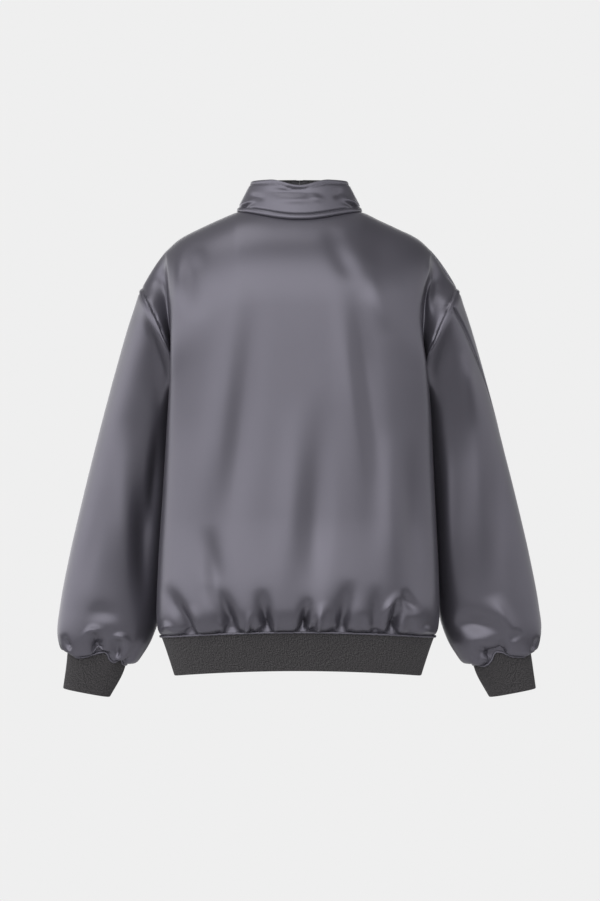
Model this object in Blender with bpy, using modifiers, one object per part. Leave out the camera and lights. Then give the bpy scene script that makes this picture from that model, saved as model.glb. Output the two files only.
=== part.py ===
"""Satin bomber jacket, hollow and filled out as if worn, seen from behind along +Y.

Metres, +Z up. +Y is the wearer's front and +X the wearer's right. The origin is the middle of
the neck opening, level with the shoulders that carry the jacket. Every cloth piece is a thin
wall worked out from short tables of sections, and pieces stand a seam gap apart.
"""

import math
from collections import namedtuple

import bmesh
import bpy
import numpy as np
from mathutils import Matrix
from mathutils.kdtree import KDTree

# Cloth walls and seams
SATIN = 0.0020
KNIT = 0.0030
COLLAR_WALL = 0.0030
SEAM_GAP = 0.0003
SAME_POINT = 0.00002

# Body: rib seam, hem lift and shoulder bone
SEAM_Z = -0.6335
SEAM_LIFT_BACK = 0.0095
SEAM_LIFT_FRONT = 0.0030
SECTION_POWER = 2.5
ROLL_POWER = 2.2
ROLL_BACK = 0.150
ROLL_FRONT = 0.140
HOLLOW_DEPTH = 0.010
HANG_LEFT = 0.0025
HANG_FROM_Z = -0.262

BodyRow = namedtuple(
    "BodyRow", "z back_width back_depth back_edge side_x side_y front_width front_depth front_edge"
)
BODY = [
    BodyRow(-0.6335, 0.2050, 0.1200, 0.034, 0.1890, 0.010, 0.1850, 0.1200, 0.060),
    BodyRow(-0.6220, 0.2085, 0.1330, 0.040, 0.1910, 0.010, 0.1880, 0.1330, 0.068),
    BodyRow(-0.6000, 0.2100, 0.1390, 0.044, 0.1905, 0.010, 0.1890, 0.1390, 0.072),
    BodyRow(-0.5200, 0.2080, 0.1400, 0.046, 0.1830, 0.010, 0.1850, 0.1400, 0.072),
    BodyRow(-0.4200, 0.2025, 0.1390, 0.050, 0.1700, 0.008, 0.1770, 0.1400, 0.074),
    BodyRow(-0.3500, 0.1985, 0.1380, 0.056, 0.1590, 0.006, 0.1690, 0.1400, 0.080),
    BodyRow(-0.3000, 0.1955, 0.1375, 0.066, 0.1550, 0.006, 0.1665, 0.1400, 0.088),
    BodyRow(-0.2620, 0.1930, 0.1370, 0.076, 0.1700, 0.006, 0.1700, 0.1390, 0.096),
    BodyRow(-0.2000, 0.1910, 0.1360, 0.089, 0.1700, 0.006, 0.1800, 0.1360, 0.103),
    BodyRow(-0.1200, 0.1940, 0.1330, 0.086, 0.1700, 0.006, 0.1880, 0.1290, 0.094),
    BodyRow(-0.0555, 0.2005, 0.1290, 0.080, 0.1700, 0.006, 0.2005, 0.1240, 0.084),
]

# Shoulder line from the neck point over the shoulder bone to the drop-shoulder seam
LinePoint = namedtuple("LinePoint", "x z")
SHOULDER = [
    LinePoint(0.0950, 0.0030),
    LinePoint(0.1160, -0.0060),
    LinePoint(0.1455, -0.0195),
    LinePoint(0.1800, -0.0375),
    LinePoint(0.2005, -0.0555),
]
NECK_HALF = SHOULDER[0].x
BONE_X = SHOULDER[-1].x
BONE_Z = SHOULDER[-1].z
NECK_BACK_Y = 0.0720
NECK_FRONT_Y = 0.0800
LINE_UNDER_COLLAR = {
    "back": [LinePoint(0.0, 0.0082), LinePoint(0.045, 0.0076)],
    "front": [LinePoint(0.0, -0.0086), LinePoint(0.045, -0.0040)],
}

# Collar: a funnel that narrows upwards and stands higher in front
COLLAR_TOP_HALF = 0.0720
COLLAR_TOP_BACK_Y = 0.0600
COLLAR_TOP_FRONT_Y = 0.0660
COLLAR_TOP_BACK_Z = 0.0365
COLLAR_TOP_SIDE_Z = 0.0475
COLLAR_TOP_FRONT_Z = 0.0540
COLLAR_ROWS = 4

# Sleeve: sections from the armhole seam to the cuff seam
SleeveRow = namedtuple("SleeveRow", "v outer_x outer_z inner_x inner_z mid_y back front")
SLEEVE = [
    SleeveRow(0.00, 0.2400, -0.1195, 0.1700, -0.2620, 0.006, 0.068, 0.080),
    SleeveRow(0.05, 0.2475, -0.1410, 0.1790, -0.2735, 0.012, 0.068, 0.078),
    SleeveRow(0.10, 0.2550, -0.1630, 0.1850, -0.2880, 0.018, 0.069, 0.076),
    SleeveRow(0.25, 0.2765, -0.2350, 0.1895, -0.3320, 0.032, 0.069, 0.072),
    SleeveRow(0.45, 0.3045, -0.3380, 0.1920, -0.4050, 0.042, 0.067, 0.068),
    SleeveRow(0.65, 0.3305, -0.4420, 0.1970, -0.4830, 0.046, 0.062, 0.063),
    SleeveRow(0.80, 0.3495, -0.5250, 0.2040, -0.5490, 0.046, 0.058, 0.058),
    SleeveRow(0.90, 0.3615, -0.5900, 0.2105, -0.6050, 0.045, 0.055, 0.055),
    SleeveRow(0.955, 0.3665, -0.6300, 0.2170, -0.6370, 0.044, 0.053, 0.053),
    SleeveRow(0.98, 0.3655, -0.6500, 0.2325, -0.6640, 0.043, 0.047, 0.047),
    SleeveRow(1.00, 0.3505, -0.6590, 0.2620, -0.6790, 0.042, 0.034, 0.034),
]
SLEEVE_POWER = 2.15
SEAM_TURN_COLUMNS = {"left": 0, "right": 2}
SEAM_TURN_END = 0.30

# Cuff: a rib strip sewn into a ring, from the sleeve to the hand
CuffRow = namedtuple("CuffRow", "w outer_x outer_z inner_x inner_z back front")
CUFF = [
    CuffRow(0.0, 0.3505, -0.6590, 0.2620, -0.6790, 0.0340, 0.0340),
    CuffRow(0.3, 0.3515, -0.6740, 0.2665, -0.6920, 0.0315, 0.0315),
    CuffRow(1.0, 0.3570, -0.7150, 0.2865, -0.7285, 0.0275, 0.0275),
]
CUFF_MID_Y = 0.042
CUFF_ROWS = 3

# Rib hem: a knit band hanging from the rib seam
HEM_HEIGHT = 0.0590
HEM_BOTTOM_IN = 0.0195
HEM_ROWS = 3

# Gathers where the body meets the rib and the sleeve meets the cuff
Gather = namedtuple("Gather", "x rise width depth lean")
BACK_GATHERS = [
    Gather(-0.186, 0.050, 0.011, 0.0075, 0.10),
    Gather(-0.155, 0.060, 0.012, 0.0090, -0.45),
    Gather(-0.127, 0.035, 0.009, 0.0060, 0.10),
    Gather(-0.086, 0.085, 0.014, 0.0128, -0.35),
    Gather(-0.043, 0.055, 0.010, 0.0090, -0.20),
    Gather(-0.010, 0.035, 0.010, 0.0053, 0.10),
    Gather(0.010, 0.045, 0.010, 0.0083, 0.15),
    Gather(0.036, 0.035, 0.009, 0.0060, 0.20),
    Gather(0.065, 0.075, 0.015, 0.0097, 0.05),
    Gather(0.105, 0.035, 0.010, 0.0060, -0.10),
    Gather(0.137, 0.060, 0.012, 0.0128, 0.25),
    Gather(0.165, 0.040, 0.011, 0.0067, 0.30),
    Gather(0.190, 0.035, 0.010, 0.0067, 0.10),
]
FRONT_GATHERS = [
    Gather(0.032, 0.040, 0.009, 0.0067, 0.10),
    Gather(0.058, 0.070, 0.013, 0.0105, 0.20),
    Gather(0.084, 0.040, 0.010, 0.0067, -0.20),
    Gather(0.108, 0.060, 0.013, 0.0097, 0.15),
    Gather(0.137, 0.040, 0.011, 0.0075, -0.10),
    Gather(0.162, 0.050, 0.010, 0.0075, 0.20),
]
CuffGather = namedtuple("CuffGather", "turn rise width depth")
CUFF_GATHERS = [
    CuffGather(math.radians(48.0), 0.10, 0.26, 0.0070),
    CuffGather(math.radians(92.0), 0.13, 0.28, 0.0110),
    CuffGather(math.radians(136.0), 0.09, 0.24, 0.0075),
]

# Grid counts: columns over the neck, the shoulder and the side turn, rows below and above the armpit
NECK_COLUMNS = 8
SHOULDER_COLUMNS = 9
TURN_COLUMNS = [0.30, 0.60, 1.0]
ROWS_BELOW = [0.0, 0.014, 0.034, 0.062, 0.105, 0.17, 0.26, 0.36, 0.46, 0.54, 0.585, 0.617]
ROWS_ABOVE = 10
SLEEVE_ROWS = [0.0, 0.05, 0.12, 0.2, 0.3, 0.4, 0.5, 0.6, 0.7, 0.79, 0.86, 0.915, 0.95, 0.975, 1.0]

# Zip: tapes behind the front edges, slider at the top of the collar, hinged pull
ZIP_HALF_GAP = 0.0060
TAPE_WIDTH = 0.0120
TAPE_WALL = 0.0012
TAPE_MIDDLE_GAP = 0.0004
TAPE_SEAT = 0.0005
TAPE_BOW_FROM = -0.080
SLIDER_Z = 0.0330
SLIDER_WIDTH = 0.0105
SLIDER_HEIGHT = 0.0120
SLIDER_DEPTH = 0.0042
BRIDGE_WIDTH = 0.0024
BRIDGE_LENGTH = 0.0086
BRIDGE_WINDOW = 0.0058
BRIDGE_CLEAR = 0.0024
BRIDGE_BAR = 0.0012
PULL_WIDTH = 0.0072
PULL_LENGTH = 0.0320
PULL_THICKNESS = 0.0012
PULL_SLOT_WIDTH = 0.0036
PULL_SLOT_LENGTH = 0.0062

SIDES = {"left": -1.0, "right": 1.0}


def spline(xs, ys, at):
    """Monotone cubic through a table's rows, so no section overshoots its neighbours."""
    xs, ys, at = np.asarray(xs, float), np.asarray(ys, float), np.asarray(at, float)
    if xs[0] > xs[-1]:
        xs, ys = xs[::-1], ys[::-1]
    steps = np.diff(xs)
    rises = np.diff(ys) / steps
    slopes = np.zeros_like(ys)
    slopes[0], slopes[-1] = rises[0], rises[-1]
    for i in range(1, len(xs) - 1):
        if rises[i - 1] * rises[i] > 0:
            first = 2 * steps[i] + steps[i - 1]
            second = steps[i] + 2 * steps[i - 1]
            slopes[i] = (first + second) / (first / rises[i - 1] + second / rises[i])
    at = np.clip(at, xs[0], xs[-1])
    k = np.clip(np.searchsorted(xs, at) - 1, 0, len(steps) - 1)
    h = steps[k]
    p = (at - xs[k]) / h
    return (
        ys[k] * (1 + 2 * p) * (1 - p) ** 2
        + slopes[k] * h * p * (1 - p) ** 2
        + ys[k + 1] * p * p * (3 - 2 * p)
        + slopes[k + 1] * h * p * p * (p - 1)
    )


def read(table, key, name, at):
    """The named column of a table at a value of its key column."""
    return spline([getattr(r, key) for r in table], [getattr(r, name) for r in table], at)


def arch(q, power):
    """Superellipse: 1 at q 0, falling to 0 with an upright end at q 1."""
    return np.maximum(1 - np.clip(np.abs(q), 0, 1) ** power, 0) ** (1 / power)


def unit(vectors):
    return vectors / np.maximum(np.linalg.norm(vectors, axis=-1, keepdims=True), 1e-12)


def stack(x, y, z):
    return np.stack(np.broadcast_arrays(x, y, z), axis=-1).astype(float)


ARMPIT_ROW = (SLEEVE[0].inner_z - SEAM_Z) / (BONE_Z - SEAM_Z)


def sleeve_section(side, v, turn):
    """A point of the sleeve: turn 0 is the overarm, half a turn the underarm, negative turns the front."""
    outer = stack(read(SLEEVE, "v", "outer_x", v), 0.0, read(SLEEVE, "v", "outer_z", v))
    inner = stack(read(SLEEVE, "v", "inner_x", v), 0.0, read(SLEEVE, "v", "inner_z", v))
    depth = np.where(turn >= 0, -read(SLEEVE, "v", "back", v), read(SLEEVE, "v", "front", v))
    across, along = np.abs(np.sin(turn)), np.cos(turn)
    along = np.sign(along) * np.abs(along) ** (2 / SLEEVE_POWER)
    point = (outer + inner) / 2 + along[..., None] * (outer - inner) / 2
    point[..., 1] = read(SLEEVE, "v", "mid_y", v) + depth * across ** (2 / SLEEVE_POWER)
    point[..., 0] *= SIDES[side]
    return point


def sleeve_axis(side, v):
    """The middle of the sleeve's section."""
    x = (read(SLEEVE, "v", "outer_x", v) + read(SLEEVE, "v", "inner_x", v)) / 2
    z = (read(SLEEVE, "v", "outer_z", v) + read(SLEEVE, "v", "inner_z", v)) / 2
    return stack(SIDES[side] * x, read(SLEEVE, "v", "mid_y", v), z)


def hang(points):
    """The body hangs a little to the wearer's left below the shoulders."""
    share = np.clip((HANG_FROM_Z - points[..., 2]) / (HANG_FROM_Z - SEAM_Z), 0, 1)
    points[..., 0] -= HANG_LEFT * share
    return points


class BodyFace:
    """The back or one front of the body: its main sweep, and its turn into the side seam and armhole."""

    def __init__(self, name):
        self.back = name == "back"
        self.sign = -1.0 if self.back else 1.0
        self.width, self.depth, self.edge = (
            ("back_width", "back_depth", "back_edge")
            if self.back
            else ("front_width", "front_depth", "front_edge")
        )
        self.roll = ROLL_BACK if self.back else ROLL_FRONT
        self.lift = SEAM_LIFT_BACK if self.back else SEAM_LIFT_FRONT
        self.neck_y = NECK_BACK_Y if self.back else NECK_FRONT_Y
        self.middle = 0.0 if self.back else ZIP_HALF_GAP
        self.line = LINE_UNDER_COLLAR[name] + SHOULDER

    def line_z(self, x):
        """Height of the line the cloth rolls over: the shoulder line, and its run on under the collar."""
        under = read(self.line, "x", "z", x)
        return np.where(x < NECK_HALF, under, read(SHOULDER, "x", "z", x))

    def top_z(self, f, x):
        """Height of the neck seam or, past the neck point, of the shoulder line."""
        line = self.line_z(x)
        share = self.neck_y * arch(x / NECK_HALF, 2.0) / self.section(f, BONE_Z)
        return line - self.roll * (1 - arch(share, ROLL_POWER))

    def section(self, f, z):
        edge = read(BODY, "z", self.edge, z)
        return edge + (read(BODY, "z", self.depth, z) - edge) * arch(f, SECTION_POWER)

    def sweep(self, f, t):
        """Main sweep: f 0 at the middle and 1 at the edge that turns away, t 0 at the rib and 1 on top."""
        top_x = self.middle + f * (BONE_X - self.middle)
        top_z = self.top_z(f, top_x)
        seam_z = SEAM_Z + self.lift * (1 - f * f)
        z = seam_z + (top_z - seam_z) * t
        edge_z = SEAM_Z + (BONE_Z - SEAM_Z) * t
        x = self.middle + f * (read(BODY, "z", self.width, edge_z) - self.middle)
        fall = np.clip((self.line_z(top_x) - z) / self.roll, 0, 1)
        y = self.sign * self.section(f, edge_z) * arch(1 - fall, ROLL_POWER)
        return stack(x, y, z)

    def border(self, t):
        """Side seam up to the armpit, then round the armhole to the shoulder seam's end."""
        below = np.clip(t / ARMPIT_ROW, 0, 1)
        z = SEAM_Z + (SLEEVE[0].inner_z - SEAM_Z) * below
        seam = stack(read(BODY, "z", "side_x", z), read(BODY, "z", "side_y", z), z)
        climb = np.clip((t - ARMPIT_ROW) / (1 - ARMPIT_ROW), 0, 1)
        turn = math.pi * (1 - climb)
        ring = sleeve_section("right", np.zeros_like(t), -self.sign * np.maximum(turn, 1e-9))
        return np.where((t <= ARMPIT_ROW)[..., None], seam, ring)

    def turn_in(self, w, t):
        """From the sweep's edge, w 0, back into the border, w 1, with a hollow beside the edge."""
        edge = self.sweep(np.ones_like(t), t)
        border = self.border(t)
        climb = np.clip((t - ARMPIT_ROW) / (1 - ARMPIT_ROW), 0, 1)
        tuck = np.exp(-(((t - ARMPIT_ROW) / 0.080) ** 2))
        out = 0.40 - 0.25 * np.sin(np.pi * climb) ** 2 + 0.10 * climb**3
        inward = 0.65 + 0.30 * np.sin(np.pi * climb) ** 2 - 0.15 * climb**3
        out = out + (0.95 - out) * tuck
        inward = inward + (0.22 - inward) * tuck
        bend = edge + (border - edge) * np.stack([out, inward, np.full_like(t, 0.5)], axis=-1)
        bend[..., 1] -= self.sign * HOLLOW_DEPTH * np.sin(np.pi * climb) ** 2
        bend[..., 2] += 0.010 * climb**3
        w = w[..., None]
        return (1 - w) ** 2 * edge + 2 * w * (1 - w) * bend + w * w * border


def body_columns(middle):
    """Shares f of the sweep with a column on the neck point, and shares w of the turn."""
    neck = (NECK_HALF - middle) / (BONE_X - middle)
    f = np.concatenate([
        np.linspace(0, neck, NECK_COLUMNS + 1),
        np.linspace(neck, 1, SHOULDER_COLUMNS + 1)[1:],
    ])
    return f, np.array(TURN_COLUMNS)


def body_rows():
    return np.concatenate([ROWS_BELOW, np.linspace(ARMPIT_ROW, 1, ROWS_ABOVE + 1)])


def half_grid(face):
    """One half of a body face, from its middle to its side, on the wearer's right."""
    f, w = body_columns(face.middle)
    t = body_rows()
    main_t, main_f = np.meshgrid(t, f, indexing="ij")
    turn_t, turn_w = np.meshgrid(t, w, indexing="ij")
    return np.concatenate([face.sweep(main_f, main_t), face.turn_in(turn_w, turn_t)], axis=1)


def mirrored(grid):
    return grid[:, ::-1] * np.array([-1.0, 1.0, 1.0])


def grid_normals(grid, centres):
    """Unit normals of a grid of points, pointing away from its centres."""
    down = np.gradient(grid, axis=0)
    across = np.gradient(grid, axis=1)
    normals = unit(np.cross(across, down))
    outward = np.sum(normals * (grid - centres)) >= 0
    return normals if outward else -normals


def gather_depth(gathers, x, height):
    """How far the gathers pull the cloth in, at a place along the rib seam and a height above it."""
    depth = np.zeros_like(x)
    for g in gathers:
        share = np.clip(height / g.rise, 0, 1)
        width = g.width * (0.7 + 0.9 * share)
        place = (x - g.x - g.lean * height) / width
        depth += g.depth * np.exp(-place * place) * (1 - share) ** 1.5
    return depth


def gathered(grid, normals, gathers):
    """A body grid with its gathers pressed in above the rib seam, fading out at the seam itself."""
    height = grid[..., 2] - grid[0:1, :, 2]
    rise = np.clip(height / 0.007, 0, 1)
    return grid - normals * (gather_depth(gathers, grid[..., 0], height) * rise)[..., None]


def body_grid(face, side):
    """Outer points of the back, side None, or of the front on one side."""
    half = half_grid(face)
    if side is None:
        grid = np.concatenate([mirrored(half), half[:, 1:]], axis=1)
    else:
        grid = half if side == "right" else mirrored(half)
    normals = grid_normals(grid, grid * np.array([0.0, 0.0, 1.0]))
    gathers = BACK_GATHERS if face.back else FRONT_GATHERS
    if side == "left":
        gathers = [g._replace(x=-g.x, lean=-g.lean) for g in gathers]
    return gathered(grid, normals, gathers)


def sleeve_turns(side, half):
    """The turns of a sleeve half's columns, row by row; the overarm seam starts behind the shoulder."""
    v = np.array(SLEEVE_ROWS)
    step = math.pi / ROWS_ABOVE
    moved = SEAM_TURN_COLUMNS[side]
    start = moved * step * np.clip(1 - v / SEAM_TURN_END, 0, 1)[:, None]
    if half == "back":
        return start + (math.pi - start) * np.linspace(0, 1, ROWS_ABOVE - moved + 1)
    return start - (math.pi + start) * np.linspace(0, 1, ROWS_ABOVE + moved + 1)


def sleeve_grid(side, half):
    """Outer points of a sleeve's back or front, between its overarm and underarm seams."""
    turns = sleeve_turns(side, half)
    rows = np.broadcast_to(np.array(SLEEVE_ROWS)[:, None], turns.shape)
    grid = sleeve_section(side, rows, turns)
    normals = grid_normals(grid, sleeve_axis(side, rows))
    from_cuff = 1 - rows
    pull = np.zeros_like(turns)
    for g in CUFF_GATHERS:
        place = (np.abs(turns) - g.turn) / g.width
        fade = np.clip(1 - from_cuff / g.rise, 0, 1) * np.clip(from_cuff / 0.02, 0, 1)
        pull += g.depth * np.exp(-place * place) * fade
    return grid - normals * pull[..., None]


def cuff_grid(side):
    """Outer points of a cuff: one strip whose ends meet at the underarm seam."""
    back, front = sleeve_turns(side, "back")[-1], sleeve_turns(side, "front")[-1]
    turns = np.concatenate([back[::-1], front[1:]])
    rows, turns = np.meshgrid(np.linspace(0, 1, CUFF_ROWS + 1), turns, indexing="ij")
    outer = stack(read(CUFF, "w", "outer_x", rows), CUFF_MID_Y, read(CUFF, "w", "outer_z", rows))
    inner = stack(read(CUFF, "w", "inner_x", rows), CUFF_MID_Y, read(CUFF, "w", "inner_z", rows))
    depth = np.where(turns >= 0, -read(CUFF, "w", "back", rows), read(CUFF, "w", "front", rows))
    along = np.sign(np.cos(turns)) * np.abs(np.cos(turns)) ** (2 / SLEEVE_POWER)
    grid = (outer + inner) / 2 + along[..., None] * (outer - inner) / 2
    grid[..., 1] += depth * np.abs(np.sin(turns)) ** (2 / SLEEVE_POWER)
    grid[..., 0] *= SIDES[side]
    return grid


def seam_rings():
    """The rib seam and the neck seam as rings of points, from the zip's left edge round the back."""
    back, right = body_grid(BodyFace("back"), None), body_grid(BodyFace("front"), "right")
    left = body_grid(BodyFace("front"), "left")[:, ::-1]
    rib = np.concatenate([left[0], back[0, 1:-1], right[0, ::-1]])
    neck = NECK_COLUMNS + 1
    middle = back.shape[1] // 2
    nape = back[-1, middle - neck + 2 : middle + neck - 1]
    collar = np.concatenate([left[-1, :neck], nape, right[-1, neck - 1 :: -1]])
    return rib, collar


def ring_normals(ring):
    """Level outward normals of a ring of points that is open at the zip."""
    run = np.gradient(ring, axis=0)
    normals = unit(np.cross(run, np.array([0.0, 0.0, 1.0])) * np.array([1.0, 1.0, 0.0]))
    return normals if np.sum(normals * ring * np.array([1, 1, 0])) >= 0 else -normals


def hem_grid():
    """Outer points of the rib hem, hung from the rib seam and narrowing downwards."""
    ring, _ = seam_rings()
    normals = ring_normals(ring)
    rows = np.linspace(0, 1, HEM_ROWS + 1)[:, None, None]
    grid = ring - normals * (HEM_BOTTOM_IN * rows**0.65) - np.array([0.0, 0.0, HEM_HEIGHT]) * rows
    grid[:, 0, 0], grid[:, -1, 0] = -ZIP_HALF_GAP, ZIP_HALF_GAP
    return grid


def collar_grid():
    """Outer points of the stand collar, from the neck seam to its top edge."""
    _, base = seam_rings()
    back = base[:, 1] < 0
    top_x = base[:, 0] * COLLAR_TOP_HALF / NECK_HALF
    top_x[[0, -1]] = base[[0, -1], 0]
    top_y = base[:, 1] * np.where(
        back, COLLAR_TOP_BACK_Y / NECK_BACK_Y, COLLAR_TOP_FRONT_Y / NECK_FRONT_Y
    )
    middle_z = np.where(back, COLLAR_TOP_BACK_Z, COLLAR_TOP_FRONT_Z)
    share = np.abs(base[:, 0]) / NECK_HALF
    top_z = COLLAR_TOP_SIDE_Z + (middle_z - COLLAR_TOP_SIDE_Z) * arch(share, 2.0)
    rows = np.linspace(0, 1, COLLAR_ROWS + 1)[:, None, None]
    return base + (stack(top_x, top_y, top_z) - base) * rows


def border_of(shape):
    """Row and column of every border point of a grid, with its step into the grid."""
    rows, columns = shape[:2]
    for row in range(rows):
        for column in range(columns):
            into_row = (row == 0) - (row == rows - 1)
            into_column = (column == 0) - (column == columns - 1)
            if into_row or into_column:
                yield row, column, into_row, into_column


def sewn(pieces):
    """Outer and inner points of every piece, mitred and set a seam gap apart where pieces meet."""
    normals = {}
    points, directions = [], []
    for name, (grid, centres, _) in pieces.items():
        normals[name] = grid_normals(grid, centres)
        for row, column, _, _ in border_of(grid.shape):
            points.append(grid[row, column])
            directions.append(normals[name][row, column])
    near = KDTree(len(points))
    for i, point in enumerate(points):
        near.insert(point, i)
    near.balance()
    walls = {}
    for name, (grid, _, thickness) in pieces.items():
        outer, inner = grid.copy(), grid - thickness * normals[name]
        for row, column, into_row, into_column in border_of(grid.shape):
            met = near.find_range(grid[row, column], SAME_POINT)
            if len(met) < 2:
                continue
            meeting = np.array([directions[i] for _, i, _ in met])
            mitre = unit(np.sum(meeting, axis=0))
            deep = thickness / max(float(np.mean(meeting @ mitre)), 0.5)
            step = np.zeros(3)
            for into, line, at in (
                ((into_row, 0), grid[row], column),
                ((0, into_column), grid[:, column], row),
            ):
                if any(into):
                    inside = grid[row + into[0], column + into[1]] - grid[row, column]
                    along = line[min(at + 1, len(line) - 1)] - line[max(at - 1, 0)]
                    away = unit(np.cross(mitre, along))
                    step += away * math.copysign(SEAM_GAP / 2, float(away @ inside))
            outer[row, column] = grid[row, column] + step
            inner[row, column] = grid[row, column] - mitre * deep + step
        walls[name] = (outer, inner)
    return walls


def cloth_pieces():
    """Every cloth piece's outer points, the points it curves round, and its wall."""
    back, front = BodyFace("back"), BodyFace("front")
    upright = np.array([0.0, 0.0, 1.0])
    grids = {"back_panel": body_grid(back, None)}
    for side in SIDES:
        grids[f"front_panel_{side}"] = body_grid(front, side)
    pieces = {name: (grid, grid * upright, SATIN) for name, grid in grids.items()}
    for side in SIDES:
        for half in ("back", "front"):
            grid = sleeve_grid(side, half)
            rows = np.broadcast_to(np.array(SLEEVE_ROWS)[:, None], grid.shape[:2])
            pieces[f"sleeve_{half}_{side}"] = (grid, sleeve_axis(side, rows), SATIN)
        grid = cuff_grid(side)
        pieces[f"cuff_{side}"] = (grid, np.mean(grid, axis=1, keepdims=True), KNIT)
    for name, grid, thickness in (
        ("collar", collar_grid(), COLLAR_WALL),
        ("hem_rib", hem_grid(), KNIT),
    ):
        pieces[name] = (grid, grid * upright, thickness)
    return pieces


def centre_front(walls):
    """The front edge from the rib's lower end to the collar's top, and the wall's depth there."""
    rib = walls["hem_rib"][0][::-1, -1]
    body = walls["front_panel_right"][0][:, 0]
    collar = walls["collar"][0][:, -1]
    edge = np.concatenate([rib, body[1:], collar[1:]])
    depths = np.concatenate([
        np.full(len(rib), KNIT),
        np.linspace(KNIT, SATIN, 4),
        np.full(len(body) - 8, SATIN),
        np.linspace(SATIN, COLLAR_WALL, 3),
        np.full(len(collar) - 1, COLLAR_WALL),
    ])
    return edge, depths


def tape_wall(walls, side):
    """Outer and inner points of one zip tape, behind the front edge."""
    edge, depths = centre_front(walls)
    run = unit(np.gradient(edge, axis=0))
    square = unit(np.stack([np.zeros(len(run)), run[:, 2], -run[:, 1]], axis=-1))
    outer_line = edge - square * (depths + TAPE_SEAT)[:, None]
    inner_line = outer_line - square * TAPE_WALL
    bow = NECK_FRONT_Y / (2 * NECK_HALF**2) * np.clip((edge[:, 2] - TAPE_BOW_FROM) / 0.05, 0, 1.5)
    x = SIDES[side] * np.linspace(TAPE_MIDDLE_GAP / 2, TAPE_WIDTH, 3)
    return [
        np.stack([stack(at, line[:, 1] - bow * at * at, line[:, 2]) for at in x], axis=1)
        for line in (outer_line, inner_line)
    ]


def finish(name, colour, roughness, metallic=0.0):
    material = bpy.data.materials.new(name)
    material.use_nodes = True
    shader = material.node_tree.nodes["Principled BSDF"]
    shader.inputs["Base Color"].default_value = (*colour, 1.0)
    shader.inputs["Roughness"].default_value = roughness
    shader.inputs["Metallic"].default_value = metallic
    return material


def shown(name, mesh, material, collection):
    """Puts a mesh in the scene as a named, smooth-shaded object."""
    mesh.materials.append(material)
    mesh.shade_smooth()
    mesh.set_sharp_from_angle(angle=math.radians(40.0))
    piece = bpy.data.objects.new(name, mesh)
    collection.objects.link(piece)
    return piece


def split_rim(form, copies):
    """Cuts each face of a wall's rim along one rule, so that facing rims stay parallel."""
    for face in form.faces[:]:
        outside = [v for v in face.verts if v not in copies]
        if len(outside) == 2:
            low, high = sorted(outside, key=lambda v: v.co.z + 0.7 * v.co.y + 0.4 * abs(v.co.x))
            beside = [edge.other_vert(high) for edge in high.link_edges if edge in face.edges[:]]
            bmesh.utils.face_split(face, low, next(v for v in beside if v in copies))


def wall(name, outer, inner, material, collection):
    """A cloth wall: a flat grid, extruded into two layers, with each layer set on its own points."""
    rows, columns = outer.shape[:2]
    form = bmesh.new()
    bmesh.ops.create_grid(form, x_segments=columns - 1, y_segments=rows - 1, size=0.5)
    made = bmesh.ops.extrude_face_region(form, geom=form.faces[:], use_keep_orig=True)
    copies = {v for v in made["geom"] if isinstance(v, bmesh.types.BMVert)}
    for v in form.verts:
        row = round((v.co.y + 0.5) * (rows - 1))
        column = round((v.co.x + 0.5) * (columns - 1))
        v.co = (inner if v in copies else outer)[row, column]
    split_rim(form, copies)
    bmesh.ops.recalc_face_normals(form, faces=form.faces[:])
    if form.calc_volume(signed=True) < 0:
        bmesh.ops.reverse_faces(form, faces=form.faces[:])
    mesh = bpy.data.meshes.new(name)
    form.to_mesh(mesh)
    form.free()
    return shown(name, mesh, material, collection)


def plate(name, outlines, thickness):
    """A flat plate in the XZ plane, from an outline and any holes, as a mesh."""
    curve = bpy.data.curves.new(name, "CURVE")
    curve.dimensions = "2D"
    curve.fill_mode = "BOTH"
    curve.extrude = thickness / 2
    for outline in outlines:
        line = curve.splines.new("POLY")
        line.points.add(len(outline) - 1)
        line.use_cyclic_u = True
        for point, (x, z) in zip(line.points, outline):
            point.co = (x, z, 0.0, 1.0)
    drawn = bpy.data.objects.new(name, curve)
    bpy.context.scene.collection.objects.link(drawn)
    bpy.context.view_layer.update()
    depsgraph = bpy.context.evaluated_depsgraph_get()
    mesh = bpy.data.meshes.new_from_object(drawn.evaluated_get(depsgraph))
    bpy.data.objects.remove(drawn)
    form = bmesh.new()
    form.from_mesh(mesh)
    bmesh.ops.remove_doubles(form, verts=form.verts[:], dist=1e-6)
    bmesh.ops.rotate(form, verts=form.verts[:], matrix=Matrix.Rotation(math.radians(90.0), 3, "X"))
    bmesh.ops.recalc_face_normals(form, faces=form.faces[:])
    form.to_mesh(mesh)
    form.free()
    return mesh


def rectangle(width, low, high):
    return [(-width / 2, low), (width / 2, low), (width / 2, high), (-width / 2, high)]


def rounded_tab():
    """The pull's outline: square shoulders at the hinge and a half-round lower end."""
    half = PULL_WIDTH / 2
    top = PULL_THICKNESS / 2
    centre = top - PULL_LENGTH + half
    ends = [math.pi + math.pi * k / 10 for k in range(11)]
    return [(half, top), (-half, top)] + [(half * math.cos(a), centre + half * math.sin(a)) for a in ends]


def slider_place(walls):
    """The middle of the slider's seat on the tapes, and how far the collar front leans there."""
    edge, depths = centre_front(walls)
    y = spline(edge[:, 2], edge[:, 1] - depths, SLIDER_Z)
    above = spline(edge[:, 2], edge[:, 1] - depths, SLIDER_Z + 0.004)
    return float(y) + SEAM_GAP, math.atan2(float(y) - float(above), 0.004)


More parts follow.
